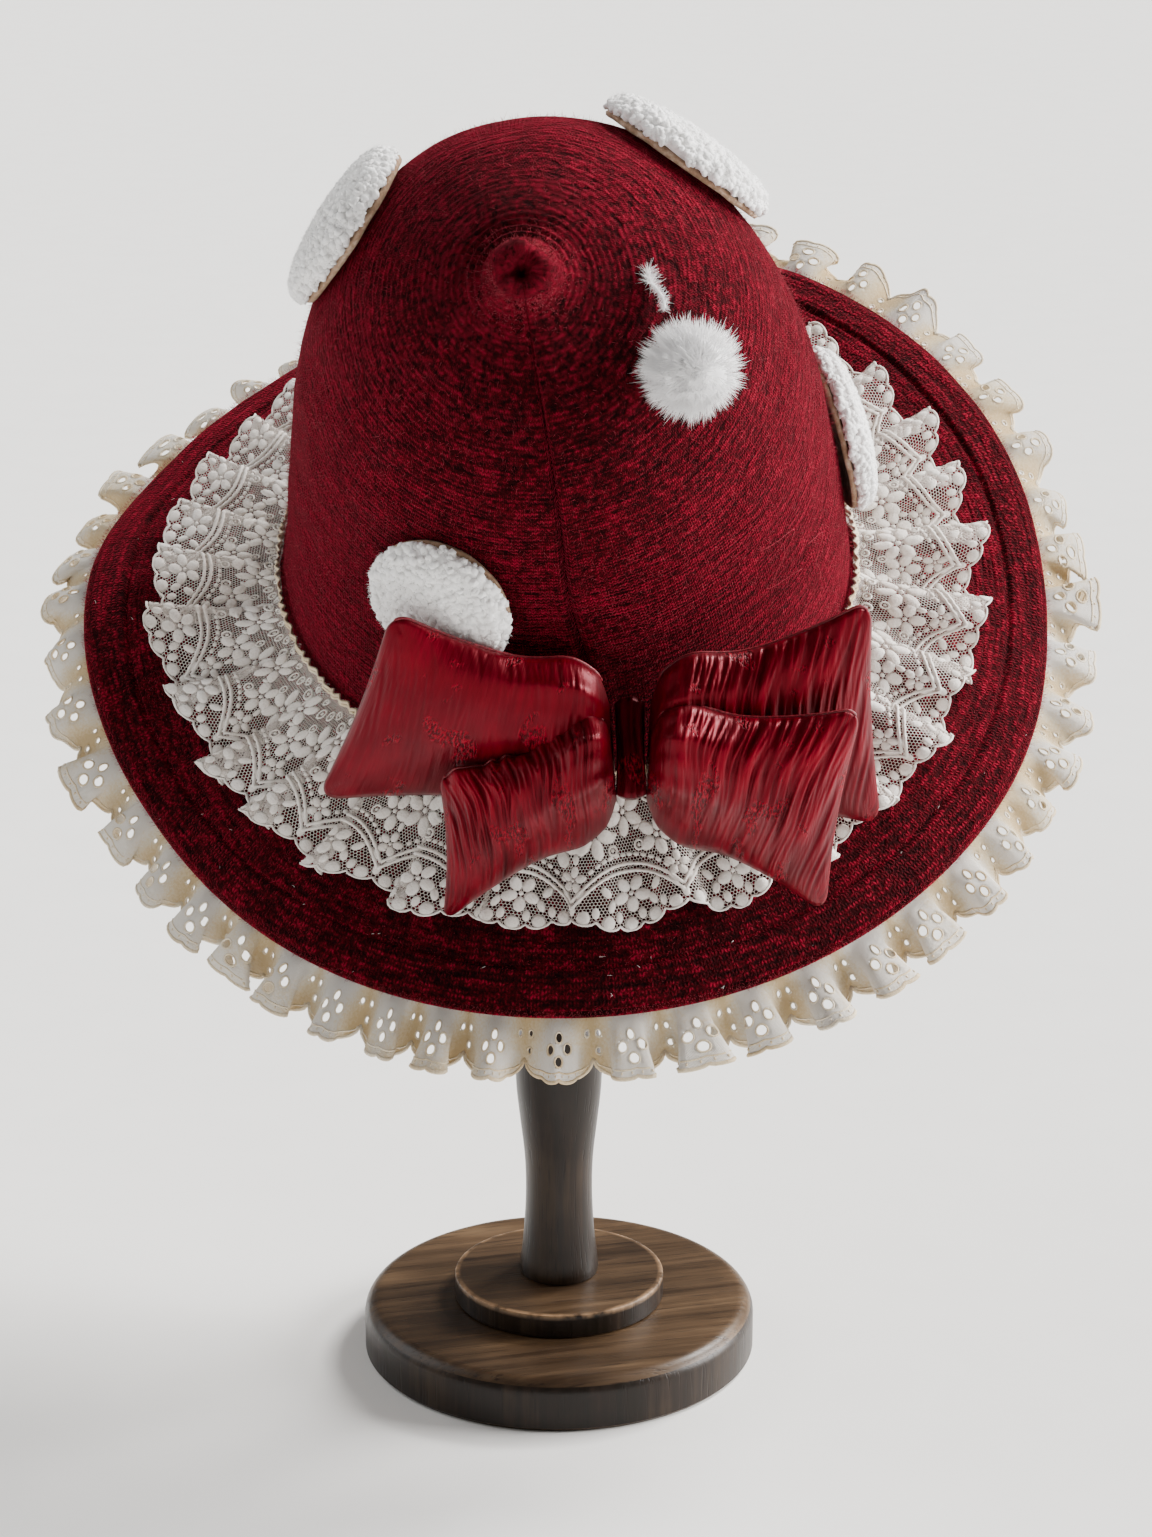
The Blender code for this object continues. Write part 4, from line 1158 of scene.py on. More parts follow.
def lace_motif(repeat):
    """One repeat of the embroidery, flat: x along, y from the heading to the edge."""
    bm = bmesh.new()
    for share, width, petals, size, turn in (
        (0.20, 25.0, 6, 19.0, 0.25), (0.56, 18.5, 6, 17.5, 0.6), (0.87, 29.0, 5, 15.0, 0.1),
        (0.53, 47.0, 5, 13.0, 0.3), (0.00, 40.5, 5, 9.5, 1.1),
    ):
        flower(bm, (share * repeat, width * MM), petals, size * MM, turn)
    for share, width, size in (
        (0.02, 13.0, 5.6), (0.16, 10.5, 5.2), (0.31, 14.0, 5.6), (0.40, 9.0, 5.0), (0.72, 9.5, 5.4),
        (0.86, 14.5, 5.8), (0.96, 20.5, 4.6), (0.40, 31.5, 4.6), (0.68, 31.0, 4.8),
    ):
        rosette(bm, (share * repeat, width * MM), size * MM)
    for share, width, length, turn in (
        (0.30, 45.5, 5.0, 0.9), (0.76, 45.5, 5.0, -0.9), (0.34, 50.5, 4.6, 1.9), (0.71, 50.5, 4.6, 1.2),
        (0.02, 33.5, 4.0, 1.57), (0.42, 26.0, 3.4, 0.2), (0.69, 24.5, 3.4, -0.4), (0.08, 45.8, 4.4, 2.2),
        (0.93, 45.8, 4.4, 0.9),
    ):
        dome(bm, (share * repeat, width * MM), length * MM, 0.58 * length * MM, 0.5 * MM, turn)
    for lobe in range(5):
        for share, inward, length, width, height in (
            ((lobe + 0.5) / 5, 2.7, 5.2, 4.6, 0.6), (lobe / 5, 3.4, 4.2, 2.6, 0.5),
        ):
            place = (share * repeat, lace_edge(share * repeat, repeat) - inward * MM)
            dome(bm, place, length * MM, width * MM, height * MM, pi / 2)
    for shift in (-1.25, 1.25):
        path = [(share * repeat, lace_arch(share, shift), 0.15 * MM) for share in np.linspace(0, 1, 33)]
        tube(bm, path, lambda share: (0.66 + 0.14 * cos(32 * pi * share)) * MM, 5)
    for bead in range(15):
        share = (bead + 0.5) / 15
        slope = (lace_arch(share + 0.01) - lace_arch(share - 0.01)) / (0.02 * repeat)
        dome(bm, (share * repeat, lace_arch(share, -4.6)), 2.5 * MM, 1.7 * MM, 0.5 * MM, np.arctan(slope), 6)
    runs = [share * repeat for share in np.linspace(0, 1, 31)]
    tube(bm, [(run, lace_edge(run, repeat) - 0.3 * MM, 0.1 * MM) for run in runs], 0.45 * MM, 5)
    return bm


def tiled(name, bm, repeats, repeat):
    """Copies of a flat motif side by side along the cloth."""
    homes = [(0, Matrix.Translation((count * repeat, 0, 0))) for count in range(repeats)]
    return scattered(name, [shape_arrays(bm)], homes)


def sewn_sheet(name, mesh, look, node, wall):
    """A sheet of cloth from its laid mesh, joined where its repeats meet, with a thickness."""
    bm = bmesh.new()
    bm.from_mesh(mesh)
    bmesh.ops.remove_doubles(bm, verts=bm.verts, dist=1e-6)
    sheet = piece(name, bm, [look], [node])
    thick = sheet.modifiers.new("cloth_wall", "SOLIDIFY")
    thick.thickness = wall
    thick.offset = 0
    return sheet


def build_lace(looks):
    widths = [LACE_WIDTH * step / 22 for step in range(23)]
    cloth = Gathered(lace_place, LACE_FOLDS, 36, widths, 16)
    repeats = round(cloth.length / (39 * MM))
    repeat = cloth.length / repeats
    columns, rows = LACE_FOLDS * 30, 16
    shares = np.arange(len(cloth.runs)) / (len(cloth.runs) - 1)
    runs = np.interp(np.arange(columns + 1) / columns, shares, cloth.runs)
    bm = bmesh.new()
    for vert, column, row in flat_grid(bm, columns, rows):
        vert.co = (runs[column], row / rows * lace_edge(runs[column], repeat), 0)
    map_cloth(bm)
    mesh = mesh_of("lace_net", bm)
    cloth.lay(mesh)
    sheet = sewn_sheet("lace_net", mesh, looks["net"], "lace_ruffle", LACE_THREAD)

    motifs = tiled("lace_embroidery", lace_motif(repeat), repeats, repeat)
    cloth.lay(motifs)
    embroidery = piece("lace_embroidery", motifs, [looks["embroidery"]])

    tape = bmesh.new()
    steps = LACE_FOLDS * 20
    for width, radius, squash in ((1.0, 1.0, 0.5), (3.0, 0.7, 0.6)):
        path = [(cloth.length * step / steps, width * MM, 0.3 * MM) for step in range(steps + 1)]
        tube(tape, path, radius * MM, 6, squash)
    mesh = mesh_of("lace_heading", tape)
    cloth.lay(mesh)
    heading = piece("lace_heading", mesh, [looks["edging"]])


EYELET_HOLES = ((-4.4, 0.2, 1.9), (4.4, -0.2, 1.9), (0.1, -4.1, 1.9), (-0.1, 4.3, 1.9))


def trim_place(column, width):
    """Where the trim's corner lies: column counts quarters of a fold."""
    share = column / (4 * TRIM_FOLDS)
    azimuth = fold_azimuth(share + 0.13, 0.9) - 360 * 0.13
    past = width - TRIM_TUCK
    free = max(past, 0.0) / TRIM_REACH
    phase = 2 * pi * column / 4 - pi / 2
    wave = sin(phase) * fold_height(share)
    over = 0.60 + 0.35 * sin(5 * 2 * pi * share + 1) + 0.40 * sin(13 * 2 * pi * share)
    small = 0.14 * sin(3 * phase + 9 * share * 2 * pi)
    swing = 0.55 * sin(7 * 2 * pi * share + 2) + 0.50 * sin(17 * 2 * pi * share)
    lift = 4.6 * MM * (wave + small + swing * free) * free**0.8
    lift -= blend(BRIM_WALL + 1.4 * MM, BRIM_WALL, free)
    azimuth -= over * sin(2 * phase) / 4 * free * 360 / TRIM_FOLDS
    droop = between(TRIM_DROOP, "droop", azimuth, "azimuth", 360)
    return brim_at(azimuth, brim_width(azimuth) + past, lift, droop)


def trim_edge(share):
    """The trim's width at its scalloped edge: three small lobes on each tongue."""
    tongue = max(sin(pi * share), 0.0) ** 0.55
    return 24.6 * MM + 7.4 * MM * tongue + 1.1 * MM * abs(sin(4 * pi * share)) ** 0.6


def build_trim(looks):
    widths = [TRIM_TUCK * step / 4 for step in range(4)]
    widths += [TRIM_TUCK + TRIM_REACH * 1.1 * step / 14 for step in range(15)]
    cloth = Gathered(trim_place, TRIM_FOLDS, 36, widths, 14, even=True)
    repeat = cloth.length / TRIM_FOLDS
    columns, hidden, open_rows = 24, 3, 20
    start = TRIM_TUCK - 2 * MM
    middle = TRIM_TUCK + 10.5 * MM
    bm = bmesh.new()
    for vert, column, row in flat_grid(bm, columns, hidden + open_rows):
        share = column / columns
        width = blend(start, trim_edge(share), (row - hidden) / open_rows)
        vert.co = (share * repeat, start * row / hidden if row < hidden else width, 0)
    holes = [Vector((repeat / 2 + x * MM, middle + y * MM, size * MM)) for x, y, size in EYELET_HOLES]
    for x, y in ((0.08 * repeat, -5.5 * MM), (0.92 * repeat, -5.5 * MM), (0.035 * repeat + 1.3 * MM, 0.5 * MM)):
        holes.append(Vector((x, middle + y, 1.25 * MM)))
    for hole in holes:
        for vert in bm.verts:
            away = vert.co.xy - hole.xy
            if 0 < vert.co.x < repeat and abs(away.length - hole.z) < 0.62 * MM:
                vert.co.xy = hole.xy + away.normalized() * hole.z

    def in_hole(face):
        middle = face.calc_center_median().xy
        return any((middle - hole.xy).length < hole.z * 0.96 for hole in holes)

    bmesh.ops.delete(bm, geom=[face for face in bm.faces if in_hole(face)], context="FACES")
    mesh = tiled("eyelet_cloth", bm, TRIM_FOLDS, repeat)
    uv = mesh.uv_layers.new(name="cloth")
    corners = corners_of(mesh)
    numbers = np.empty(len(mesh.loops), dtype=np.int32)
    mesh.loops.foreach_get("vertex_index", numbers)
    uv.data.foreach_set("uv", corners[numbers, :2].ravel())
    # The valleys of the folds, where the trim's colour paints tan shade.
    valley = mesh.attributes.new("valley", "FLOAT", "POINT")
    valley.data.foreach_set("value", np.abs(2 * (corners[:, 0] / repeat % 1) - 1) ** 1.5)
    cloth.lay(mesh)
    trim = sewn_sheet("eyelet_cloth", mesh, looks["eyelet"], "eyelet_trim", TRIM_COTTON)

    bm = bmesh.new()
    for hole in holes:
        tube(bm, ring_of(hole, hole.z + 0.15 * MM, 12), 0.45 * MM, 5, 1.1, closed=True)
    edge = [(share * repeat, trim_edge(share), 0) for share in np.linspace(0, 1, 31)]
    tube(bm, edge, 0.75 * MM, 6, 0.8)
    inner = []
    for share in np.linspace(0, 1, 19):
        inner.append((share * repeat, blend(trim_edge(share), middle + 9.5 * MM, 0.35) - 2.4 * MM, 0))
    tube(bm, inner, 0.4 * MM, 5, 1.3)
    for share in np.linspace(0.04, 0.96, 12):
        dome(bm, (share * repeat, trim_edge(share) - 1.9 * MM), 1.5 * MM, 0.8 * MM, 0.45 * MM, pi / 2, 6)
    mesh = tiled("eyelet_stitching", bm, TRIM_FOLDS, repeat)
    cloth.lay(mesh)
    stitching = piece("eyelet_stitching", mesh, [looks["edging"]])


# Padded bow

BOW_REACH = 94 * MM
BOW_SEAM = 1.8 * MM
BOW_FACING = radians(53)
BOW_WINGS = rows_of(
    "name side top_out low_out top_in low_in layer out up",
    ("upper_left", -1, (0.82, 0.47), (1.14, -0.16), (0.062, 0.20), (0.062, -0.16), -0.07, 0.02, 1.00),
    ("upper_right", 1, (0.85, 0.50), (0.92, -0.28), (0.062, 0.20), (0.062, -0.16), -0.08, -0.10, 0.90),
    ("lower_left", -1, (0.68, -0.08), (0.69, -0.61), (0.062, 0.08), (0.062, -0.22), 0.12, 0.02, 0.80),
    ("lower_right", 1, (0.81, 0.12), (0.70, -0.60), (0.062, 0.08), (0.062, -0.22), 0.12, 0.04, 0.80),
)
WING_FRONT = 0.14
WING_BACK = 0.09


def node_middle(node, turn):
    """The middle and half size of a CAD node, measured along the axes of a turn."""
    local = corners_of(frame["nodes"][node].data) @ np.array(turn.to_3x3())
    low, high = local.min(axis=0), local.max(axis=0)
    return turn.to_3x3() @ Vector((low + high) / 2), Vector((high - low) / 2)


def bow_frame():
    up = Vector((0, sin(BOW_FACING), cos(BOW_FACING)))
    right = Vector((1, 0, 0))
    turn = HAT_TURN @ Matrix((right, up, right.cross(up))).transposed().to_4x4()
    return Matrix.Translation(node_middle("bow_knot", turn)[0]) @ turn


def wing_seed(wing):
    return 7.3 * len(wing.name) + 3.1 * wing.side


def wing_crinkle(wing, out, rise):
    """How far the cloth's crinkles stand up (about -1 to 1): lines from top edge to lower edge."""
    seed = wing_seed(wing)
    run = out * (1.0 + 0.12 * sin(rise * 3 + seed)) + 0.015 * sin(rise * 9 + seed)
    crinkle = 0.55 - 2.2 * abs(noise.noise(Vector((run * 33, rise * 2.2 + 0.35 * sin(run * 30), seed))))
    crinkle += 0.5 * noise.noise(Vector((run * 80, rise * 3.6, seed + 5)))
    return crinkle * (0.35 + 0.65 * min(1.0, out / 0.5) if wing.name != "upper_left" else 0.28)


def wing_point(wing, out, rise, face):
    """A point of a wing's front (1) or back (-1): creases at the knot, crinkles across."""
    edge = max(sin(pi * out), 0.0) * max(sin(pi * rise), 0.0)
    inner_end = sqrt(1 - (1 - min(out / 0.16, 1.0)) ** 2)
    outer_end = max(sin(pi * max(out, 0.5)), 0.0) ** 0.55
    puff = max(sin(pi * rise), 0.0) ** 0.66 * inner_end * outer_end * (1 + 0.45 * exp(-((out / 0.34) ** 2)))
    past, tall = max(0.0, (out - 0.91) / 0.09), max(0.0, (abs(2 * rise - 1) - 0.78) / 0.22)
    if past and tall:
        pull = max(past, tall) / sqrt(past * past + tall * tall)
        out = 0.91 + 0.09 * past * pull
        rise = 0.5 + copysign(0.39 + 0.11 * tall * pull, rise - 0.5)
    inner = [blend(low, top, rise) for low, top in zip(wing.low_in, wing.top_in)]
    outer = [blend(low, top, rise) for low, top in zip(wing.low_out, wing.top_out)]
    across = blend(inner[0], outer[0], out)
    up = blend(inner[1], outer[1], out)
    across -= 0.022 * sin(pi * rise) * out**3
    middle = blend(wing.low_in[1] + wing.top_in[1], wing.low_out[1] + wing.top_out[1], out) / 2
    shoulder = 1 + 0.30 * exp(-(((out - 0.15) / 0.17) ** 2)) - 0.42 * (1 - min(out / 0.07, 1.0)) ** 2
    shoulder -= 0.05 * sin(pi * min(max(out - 0.35, 0) / 0.65, 1))
    up = middle + (up - middle) * shoulder
    seed = wing_seed(wing)
    near_knot = exp(-out / 0.16)
    crease = near_knot * (0.020 * sin(rise * 17 + seed) + 0.014 * sin(rise * 31 + 2 * seed))
    slack = 0.014 * noise.noise(Vector((out * 3.1, rise * 2.4, seed))) * puff
    crinkle = 0.0125 * wing_crinkle(wing, out, rise) * min(1.0, edge * 6)
    depth = ((WING_FRONT + 0.045) if face > 0 else -WING_BACK) * puff
    depth += face * (crease * min(1.0, edge * 5) + slack + crinkle)
    pucker = 0.0
    if wing.name == "lower_left":
        pucker = 0.012 * exp(-(1 - rise) / 0.06) * sin(out * 46 + 2 * sin(out * 19))
    across += 0.02 * near_knot * (rise - 0.5)
    up += 0.5 * pucker
    depth += wing.layer + wing.out * out + wing.up * up + pucker * 0.6
    return Vector((wing.side * across, up, depth)) * BOW_REACH + Vector((0, 0, face * BOW_SEAM / 2))


def build_wing(wing, home, looks):
    columns, rows = 190, 56
    bm = bmesh.new()
    uv = bm.loops.layers.uv.new("cloth")
    folds = bm.verts.layers.float.new("crinkle")
    for face in (1, -1):
        made = bmesh.ops.create_grid(bm, x_segments=columns, y_segments=rows, size=0.5)["verts"]
        for patch in {patch for vert in made for patch in vert.link_faces}:
            for loop in patch.loops:
                out, rise = loop.vert.co.x + 0.5, loop.vert.co.y + 0.5
                wide = blend(wing.top_in[1] - wing.low_in[1], wing.top_out[1] - wing.low_out[1], out)
                loop[uv].uv = (out * BOW_REACH, (rise - 0.5) * wide * BOW_REACH * 1.2)
        for vert in made:
            out, rise = vert.co.x + 0.5, vert.co.y + 0.5
            # The crinkle heights are kept for the satin's colour, where they paint shade in the valleys and
            # light on the ridges.
            vert[folds] = 0.5 + 0.5 * wing_crinkle(wing, out, rise)
            vert.co = wing_point(wing, out, rise, face)
            if out in (0.0, 1.0) or rise in (0.0, 1.0):
                vert.co.z -= face * BOW_SEAM / 2
    bmesh.ops.remove_doubles(bm, verts=bm.verts, dist=1e-6)
    bmesh.ops.recalc_face_normals(bm, faces=bm.faces)
    bm.transform(home)
    name = "bow_wing_" + wing.name
    item = piece("satin_" + wing.name, bm, [looks["satin"]], [name])

    bm = bmesh.new()
    steps = 60
    path = [wing_point(wing, 0.04 + 0.955 * step / steps, 1.0, 0) for step in range(steps + 1)]
    path += [wing_point(wing, 0.995, 1 - 0.99 * step / 40, 0) for step in range(1, 41)]
    tube(bm, path, 0.55 * MM, 6)
    bm.transform(home)
    piece("seam_" + wing.name, bm, [looks["piping"]])


def build_bow(looks):
    home = bow_frame()
    for wing in BOW_WINGS:
        build_wing(wing, home, looks)
    half = node_middle("bow_knot", home)[1]
    bm = bmesh.new()
    bmesh.ops.create_cube(bm, size=2)
    bmesh.ops.subdivide_edges(bm, edges=bm.edges, cuts=15, use_grid_fill=True)
    for vert in bm.verts:
        x, y, z = vert.co
        rounding = (1 - 0.30 * x * x) * (1 - 0.12 * y * y)
        pleat = 0.06 * sin(9 * x + 1.2 * sin(3 * y)) if z > 0.5 else 0.0
        vert.co = Vector((
            half.x * 0.74 * x * (1 - 0.10 * cos(pi * y / 2)) * (1 - 0.06 * abs(z)),
            half.y * y * (1 - 0.10 * x * x),
            half.z * (z * rounding * (0.80 if z > 0 else 1.0) + pleat),
        ))
    map_cloth(bm)
    bmesh.ops.smooth_vert(bm, verts=bm.verts, factor=0.5, use_axis_x=True, use_axis_y=True, use_axis_z=True)
    bm.transform(home)
    knot = piece("satin_knot", bm, [looks["satin"]], ["bow_knot"])


# Fleece spots

SPOTS = rows_of(
    "name azimuth height radius",
    ("front", 246, 0.50, 25.5 * MM), ("left", 150, 0.72, 30.0 * MM),
    ("top", 50, 0.68, 32.1 * MM), ("right", 14, 0.18, 30.0 * MM),
)
FLEECE_THICKNESS = 8.5 * MM
BACKING_THICKNESS = 2.0 * MM
BACKING_SHARE = 0.94
SPOT_DISH = 0.10
# Curls on a spot of 30 mm radius, the most on any spot, and fine fibres for each curl.
CURLS = 1500
MOST_CURLS = 1600
FIBRES_PER_CURL = 4


def spun(bm, profile, steps):
    """A turned shape from its profile of (radius, height), closed at both poles."""
    points = [bm.verts.new((radius, 0, height)) for radius, height in profile]
    edges = [bm.edges.new(pair) for pair in zip(points, points[1:])]
    bmesh.ops.spin(
        bm, geom=points + edges, cent=(0, 0, 0), axis=(0, 0, 1), angle=2 * pi, steps=steps, use_merge=True,
    )
    bmesh.ops.remove_doubles(bm, verts=bm.verts, dist=1e-6)
    bmesh.ops.recalc_face_normals(bm, faces=bm.faces)


def bobble_shape(seed):
    """A small curly lump of wool of unit size, its foot at the origin."""
    bm = bmesh.new()
    bmesh.ops.create_icosphere(bm, subdivisions=2, radius=0.5)
    for vert in bm.verts:
        spot = vert.co * 3.4 + Vector((seed * 7.1, 0, 0))
        vert.co *= 1 + 0.45 * noise.noise(spot) + 0.2 * noise.noise(spot * 2.3)
        vert.co.z = vert.co.z * 0.8 + 0.25
    return shape_arrays(bm)


def fleece_level(share):
    return float(np.interp(share, (0, 0.4, 0.75, 0.90, 0.96, 1.0), (1, 0.99, 0.92, 0.78, 0.6, 0.3)))


def build_spot(spot, looks):
    turn = crown_turn(spot.azimuth, spot.height)
    out = turn.col[2].to_3d()
    dish = SPOT_DISH * spot.radius
    node = "spot_backing_" + spot.name
    middle, half = node_middle(node, turn)
    home = Matrix.Translation(middle + out * half.z) @ turn
    draw = random.Random(int(spot.azimuth))
    bm = bmesh.new()
    size = spot.radius * BACKING_SHARE
    profile = [(share * size, -dish * share * share) for share in np.linspace(0, 1, 13)]
    profile += [(size + 0.6 * MM, -dish - BACKING_THICKNESS / 2)]
    profile += [(share * size, -BACKING_THICKNESS - dish * share * share) for share in np.linspace(1, 0, 13)]
    spun(bm, profile, 72)
    for vert in bm.verts:
        vert.co.z += 0.35 * MM * noise.noise(vert.co * 130)
        vert.co.xy *= 1 + 0.025 * noise.noise(Vector((vert.co.x, vert.co.y, 0)) * 60)
    bm.transform(home)
    backing = piece("backing_" + spot.name, bm, [looks["backing"]], [node])

    node = "spot_fleece_" + spot.name
    middle, half = node_middle(node, turn)
    home = Matrix.Translation(middle + out * (half.z - FLEECE_THICKNESS)) @ turn
    bm = bmesh.new()
    profile = []
    for share in np.linspace(0, 1, 19):
        level = (FLEECE_THICKNESS - 1.2 * MM) * fleece_level(share)
        profile.append((share * spot.radius * 0.965, level - dish * share * share))
    profile += [(spot.radius * share, -dish * share * share) for share in (0.94, 0.7, 0.4, 0.0)]
    spun(bm, profile, 90)
    for vert in bm.verts:
        if vert.co.z > 0.2 * MM - dish:
            lump = noise.noise(vert.co * 330) + 0.6 * noise.noise(vert.co * 800)
            vert.co.z += 0.55 * MM * lump
            vert.co.xy *= 1 + 0.02 * lump
    bm.transform(home)
    fleece = piece("fleece_" + spot.name, bm, [looks["fleece"]], [node])

    shapes = [bobble_shape(seed) for seed in range(4)] + [fibre_shape(2, 0.6)]
    homes = []
    count = min(int(CURLS * (spot.radius / (30 * MM)) ** 2), MOST_CURLS)
    for number in range(count * (1 + FIBRES_PER_CURL)):
        bobble = number < count
        share = sqrt(draw.random()) if draw.random() < 0.85 else draw.uniform(0.95, 1.0)
        angle = draw.uniform(0, 2 * pi)
        low = draw.random() if share > 0.95 else 1.0
        height = (FLEECE_THICKNESS - 1.9 * MM) * fleece_level(share) * low - dish * share * share
        reach = share * spot.radius * 0.955
        here = Vector((reach * cos(angle), reach * sin(angle), height))
        lean = Vector((cos(angle), sin(angle), 0)) * (share**6 * 1.5 + draw.gauss(0, 0.5))
        lean += Vector((-sin(angle), cos(angle), 0)) * draw.gauss(0, 0.6) + Vector((0, 0, 1))
        lean.normalize()
        if bobble:
            length = draw.uniform(1.9, 3.3) * MM
            homes.append((draw.randrange(4), pointing(here, lean, length, length, draw.uniform(0, 2 * pi))))
        else:
            start = here + lean * draw.uniform(0.8, 1.8) * MM
            length = draw.uniform(0.7, 1.5) * MM
            homes.append((4, pointing(start, lean, length, 0.16 * MM, draw.uniform(0, 2 * pi))))
    planted("curls_" + spot.name, shapes, homes, looks["fleece"], home)


# Fur pompom

POMPOM_AZIMUTH = 330
POMPOM_HEIGHT = 0.850
POMPOM_CORE = 11.8 * MM
POMPOM_HAIRS = 6200
TAIL_HAIRS = 620
TAIL_HALF = 6.8 * MM


def build_pompom(looks):
    turn = crown_turn(POMPOM_AZIMUTH, POMPOM_HEIGHT)
    middle, _ = node_middle("pompom", turn)
    home = Matrix.Translation(middle) @ turn
    draw = random.Random(23)
    # Without a seed, noise_vector takes its offsets from the time.
    noise.seed_set(23)
    bm = bmesh.new()
    bmesh.ops.create_icosphere(bm, subdivisions=4, radius=POMPOM_CORE)
    for vert in bm.verts:
        vert.co *= 1 + 0.10 * noise.noise(vert.co * 260)
    bm.transform(home)
    piece("pompom_core", bm, [looks["fur"]], ["pompom"])
    shapes = [fibre_shape(3, bend) for bend in (0.15, 0.45, -0.3)]
    homes = []
    for _ in range(POMPOM_HAIRS):
        out = drawn_vector(draw).normalized()
        sweep = out - Vector((0.1, -0.25, 0.95)) * 0.9
        sweep = (sweep - out * sweep.dot(out)).normalized()
        tuft = noise.noise(out * 3.2)
        direction = out * draw.uniform(0.55, 1.0) + sweep * draw.uniform(0.2, 0.8)
        direction += drawn_vector(draw) * 0.16
        direction += noise.noise_vector(out * 4.5) * 0.75
        start = out * draw.uniform(8.5, 11.5) * MM
        length = (7.2 + 1.6 * tuft) * MM * draw.uniform(0.8, 1.12) * (1.25 if draw.random() < 0.04 else 1)
        hair = (start, direction.normalized(), length, 0.30 * MM)
        homes.append((draw.randrange(3), pointing(*hair, draw.uniform(0, 6))))
    planted("pompom_fur", shapes, homes, looks["fur"], home)

    low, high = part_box("pompom_cord")
    centre = (Vector(low) + Vector(high)) / 2
    along = (centre - middle).normalized()
    side = along.cross(turn.col[2].to_3d()).normalized()
    path = []
    for step in range(17):
        share = step / 16
        path.append(centre + along * blend(-TAIL_HALF, TAIL_HALF, share) + side * (0.9 * MM * sin(6 * share)))
    bm = bmesh.new()
    tube(bm, path, lambda share: (0.5 + 0.15 * sin(25 * share)) * MM, 8)
    piece("tail_cord", bm, [looks["fur"]], ["pompom_cord"])
    homes = []
    for _ in range(TAIL_HAIRS):
        share = draw.random()
        tip = share > 0.62
        here = path[min(int(share * 17), 16)] + along * draw.gauss(0, 0.4 * MM)
        out = drawn_vector(draw).normalized()
        direction = (out + along * (0.7 if tip else 0.2)).normalized()
        length = draw.uniform(2.4, 5.6) * MM if tip else draw.uniform(1.0, 3.4) * MM
        homes.append((draw.randrange(3), pointing(here, direction, length, 0.16 * MM, draw.uniform(0, 6))))
    planted("tail_fur", shapes, homes, looks["fur"])


# Wooden stand

FOOT_RADIUS = 72.5 * MM
FOOT_THICKNESS = 20 * MM
FOOT_ROUNDING = 6 * MM
RISER_RADIUS = 38.8 * MM
RISER_THICKNESS = 9 * MM
POST_RADIUS = 14.6 * MM
HEAD_RADIUS = 54 * MM
HEAD_DEPTH = 48 * MM
POST_PROFILE = rows_of(
    "height radius",
    (0.000, 0.97), (0.006, 1.00), (0.030, 0.93), (0.060, 0.87), (0.095, 0.84), (0.130, 0.87), (0.170, 0.98),
    (0.205, 1.07), (0.235, 1.08), (0.262, 1.00), (0.285, 0.84), (0.300, 0.77), (0.600, 0.74), (0.950, 0.74),
    (1.000, 0.95),
)


def turned_wood(name, profile, steps, looks, node, worn=()):
    """A turned piece; its last argument lists (radius, height, reach) of edges coloured lighter."""
    bm = bmesh.new()
    spun(bm, profile, steps)
    for face in bm.faces:
        # Upright faces take the second, darker walnut, which paints shade on the sides.
        face.material_index = int(abs(face.normal.z) < 0.6)
    item = piece(name, bm, looks, [node], crease=40)
    lightened = item.data.attributes.new("worn", "FLOAT", "POINT")
    values = []
    for vert in item.data.vertices:
        here = Vector((sqrt(vert.co.x**2 + vert.co.y**2), vert.co.z))
        values.append(max((1 - (here - Vector(edge[:2])).length / edge[2] for edge in worn), default=0.0))
    lightened.data.foreach_set("value", [max(0.0, value) for value in values])


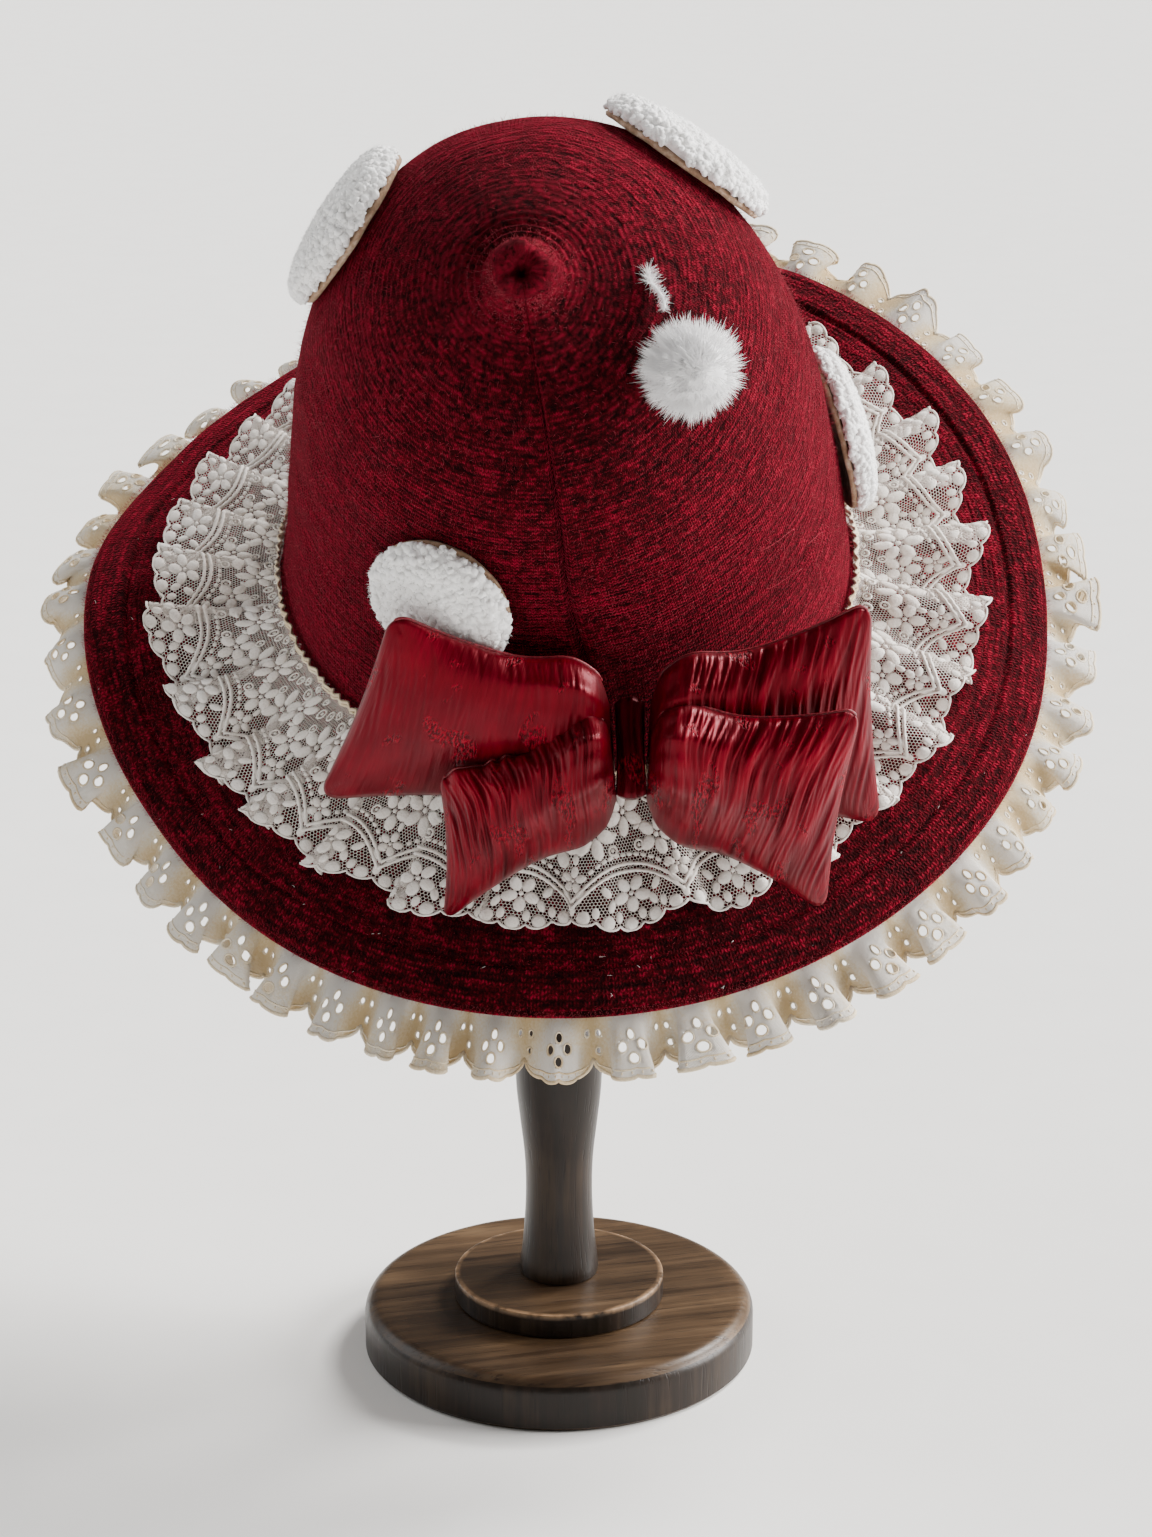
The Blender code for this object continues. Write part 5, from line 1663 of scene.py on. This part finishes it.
def build_stand(looks):
    wood = [looks["walnut_flat"], looks["walnut_upright"]]
    top = FOOT_THICKNESS
    edge, corner = FOOT_RADIUS - FOOT_ROUNDING, top - FOOT_ROUNDING
    quarter = np.linspace(0, pi / 2, 9)
    foot = [(share * edge, top) for share in (0, 0.3, 0.5, 0.6, 0.8, 0.93)]
    foot += [(edge + FOOT_ROUNDING * sin(a), corner + FOOT_ROUNDING * cos(a)) for a in quarter]
    foot += [(FOOT_RADIUS, 6 * MM), (FOOT_RADIUS, 1.5 * MM), (FOOT_RADIUS - 1.5 * MM, 0)]
    foot += [(0.5 * edge, 0), (0, 0)]
    turned_wood("walnut_foot", foot, 128, wood, "stand_base")
    low = top + GAP
    high = low + RISER_THICKNESS
    rim = RISER_RADIUS
    riser = [(0, high), (0.5 * rim, high), (rim - 2.2 * MM, high), (rim - 0.8 * MM, high)]
    riser += [(rim - 0.25 * MM, high - 0.25 * MM), (rim, high - 0.8 * MM), (rim, high - 2.2 * MM)]
    riser += [(rim, low + 0.4 * MM), (rim - 0.4 * MM, low), (0, low)]
    turned_wood("walnut_riser", riser, 112, wood, "stand_riser", [(rim - 0.3 * MM, high - 0.3 * MM, 1.3 * MM)])
    base = high + GAP
    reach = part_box("stand_post")[1][2] - base
    post = [(0, base)]
    for share in list(np.linspace(0, 0.32, 65)) + [0.4, 0.6, 0.8, 0.95, 1.0]:
        post.append((POST_RADIUS * between(POST_PROFILE, "radius", share, "height"), base + reach * share))
    post.append((0, base + reach))
    turned_wood("walnut_post", post, 80, wood, "stand_post")
    foot_of_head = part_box("stand_head")[0][2]
    head = [(0, HEAD_DEPTH)]
    for angle in np.linspace(0, pi / 2, 15)[1:]:
        head.append((HEAD_RADIUS * sin(angle), blend(HEAD_DEPTH * 0.2, HEAD_DEPTH, cos(angle))))
    head += [(HEAD_RADIUS, HEAD_DEPTH * 0.06), (HEAD_RADIUS - HEAD_DEPTH * 0.06, 0), (0, 0)]
    turned_wood("walnut_head", [(x, z + foot_of_head) for x, z in head], 80, wood, "stand_head")


# Floor, light and camera


def build_studio(looks):
    bm = bmesh.new()
    bmesh.ops.create_grid(bm, x_segments=8, y_segments=8, size=60)
    mesh = mesh_of("floor", bm)
    mesh.materials.append(looks["floor"])
    shown("floor", mesh)

    def sun(name, direction, strength, angle, colour=(1, 1, 1)):
        light = bpy.data.lights.new(name, "SUN")
        light.energy = strength
        light.angle = radians(angle)
        light.color = colour
        shown(name, light).rotation_euler = Vector(direction).to_track_quat("Z", "Y").to_euler()

    sun("window_light", (0.80, 0.62, 1.05), 5.6, 20, (1.0, 0.985, 0.96))
    sun("window_side", (1.0, 0.14, 0.36), 9.0, 36, (1.0, 0.985, 0.97))
    sun("second_window", (-1.0, 0.35, 0.70), 1.5, 50, (0.97, 0.985, 1.0))
    world = bpy.data.worlds.new("studio")
    bpy.context.scene.world = world
    world.use_nodes = True
    sky = world.node_tree.nodes["Background"]
    sky.inputs["Color"].default_value = (1.0, 0.98, 0.95, 1)
    sky.inputs["Strength"].default_value = 0.19

    lens = bpy.data.cameras.new("camera")
    lens.lens = 85
    lens.sensor_width = 36
    lens.clip_end = 300
    camera = shown("camera", lens)
    camera.location = (0.0063, -1.233, 0.619)
    camera.rotation_euler = (radians(90 - 17.7), 0, 0)
    bpy.context.scene.camera = camera


def main():
    looks = make_looks()
    build_studio(looks)
    build_stand(looks)
    build_crown(looks)
    build_brim(looks)
    build_lace(looks)
    build_trim(looks)
    build_bow(looks)
    for spot in SPOTS:
        build_spot(spot, looks)
    build_pompom(looks)
    build_fuzz(looks)
    build_lint(looks)


main()
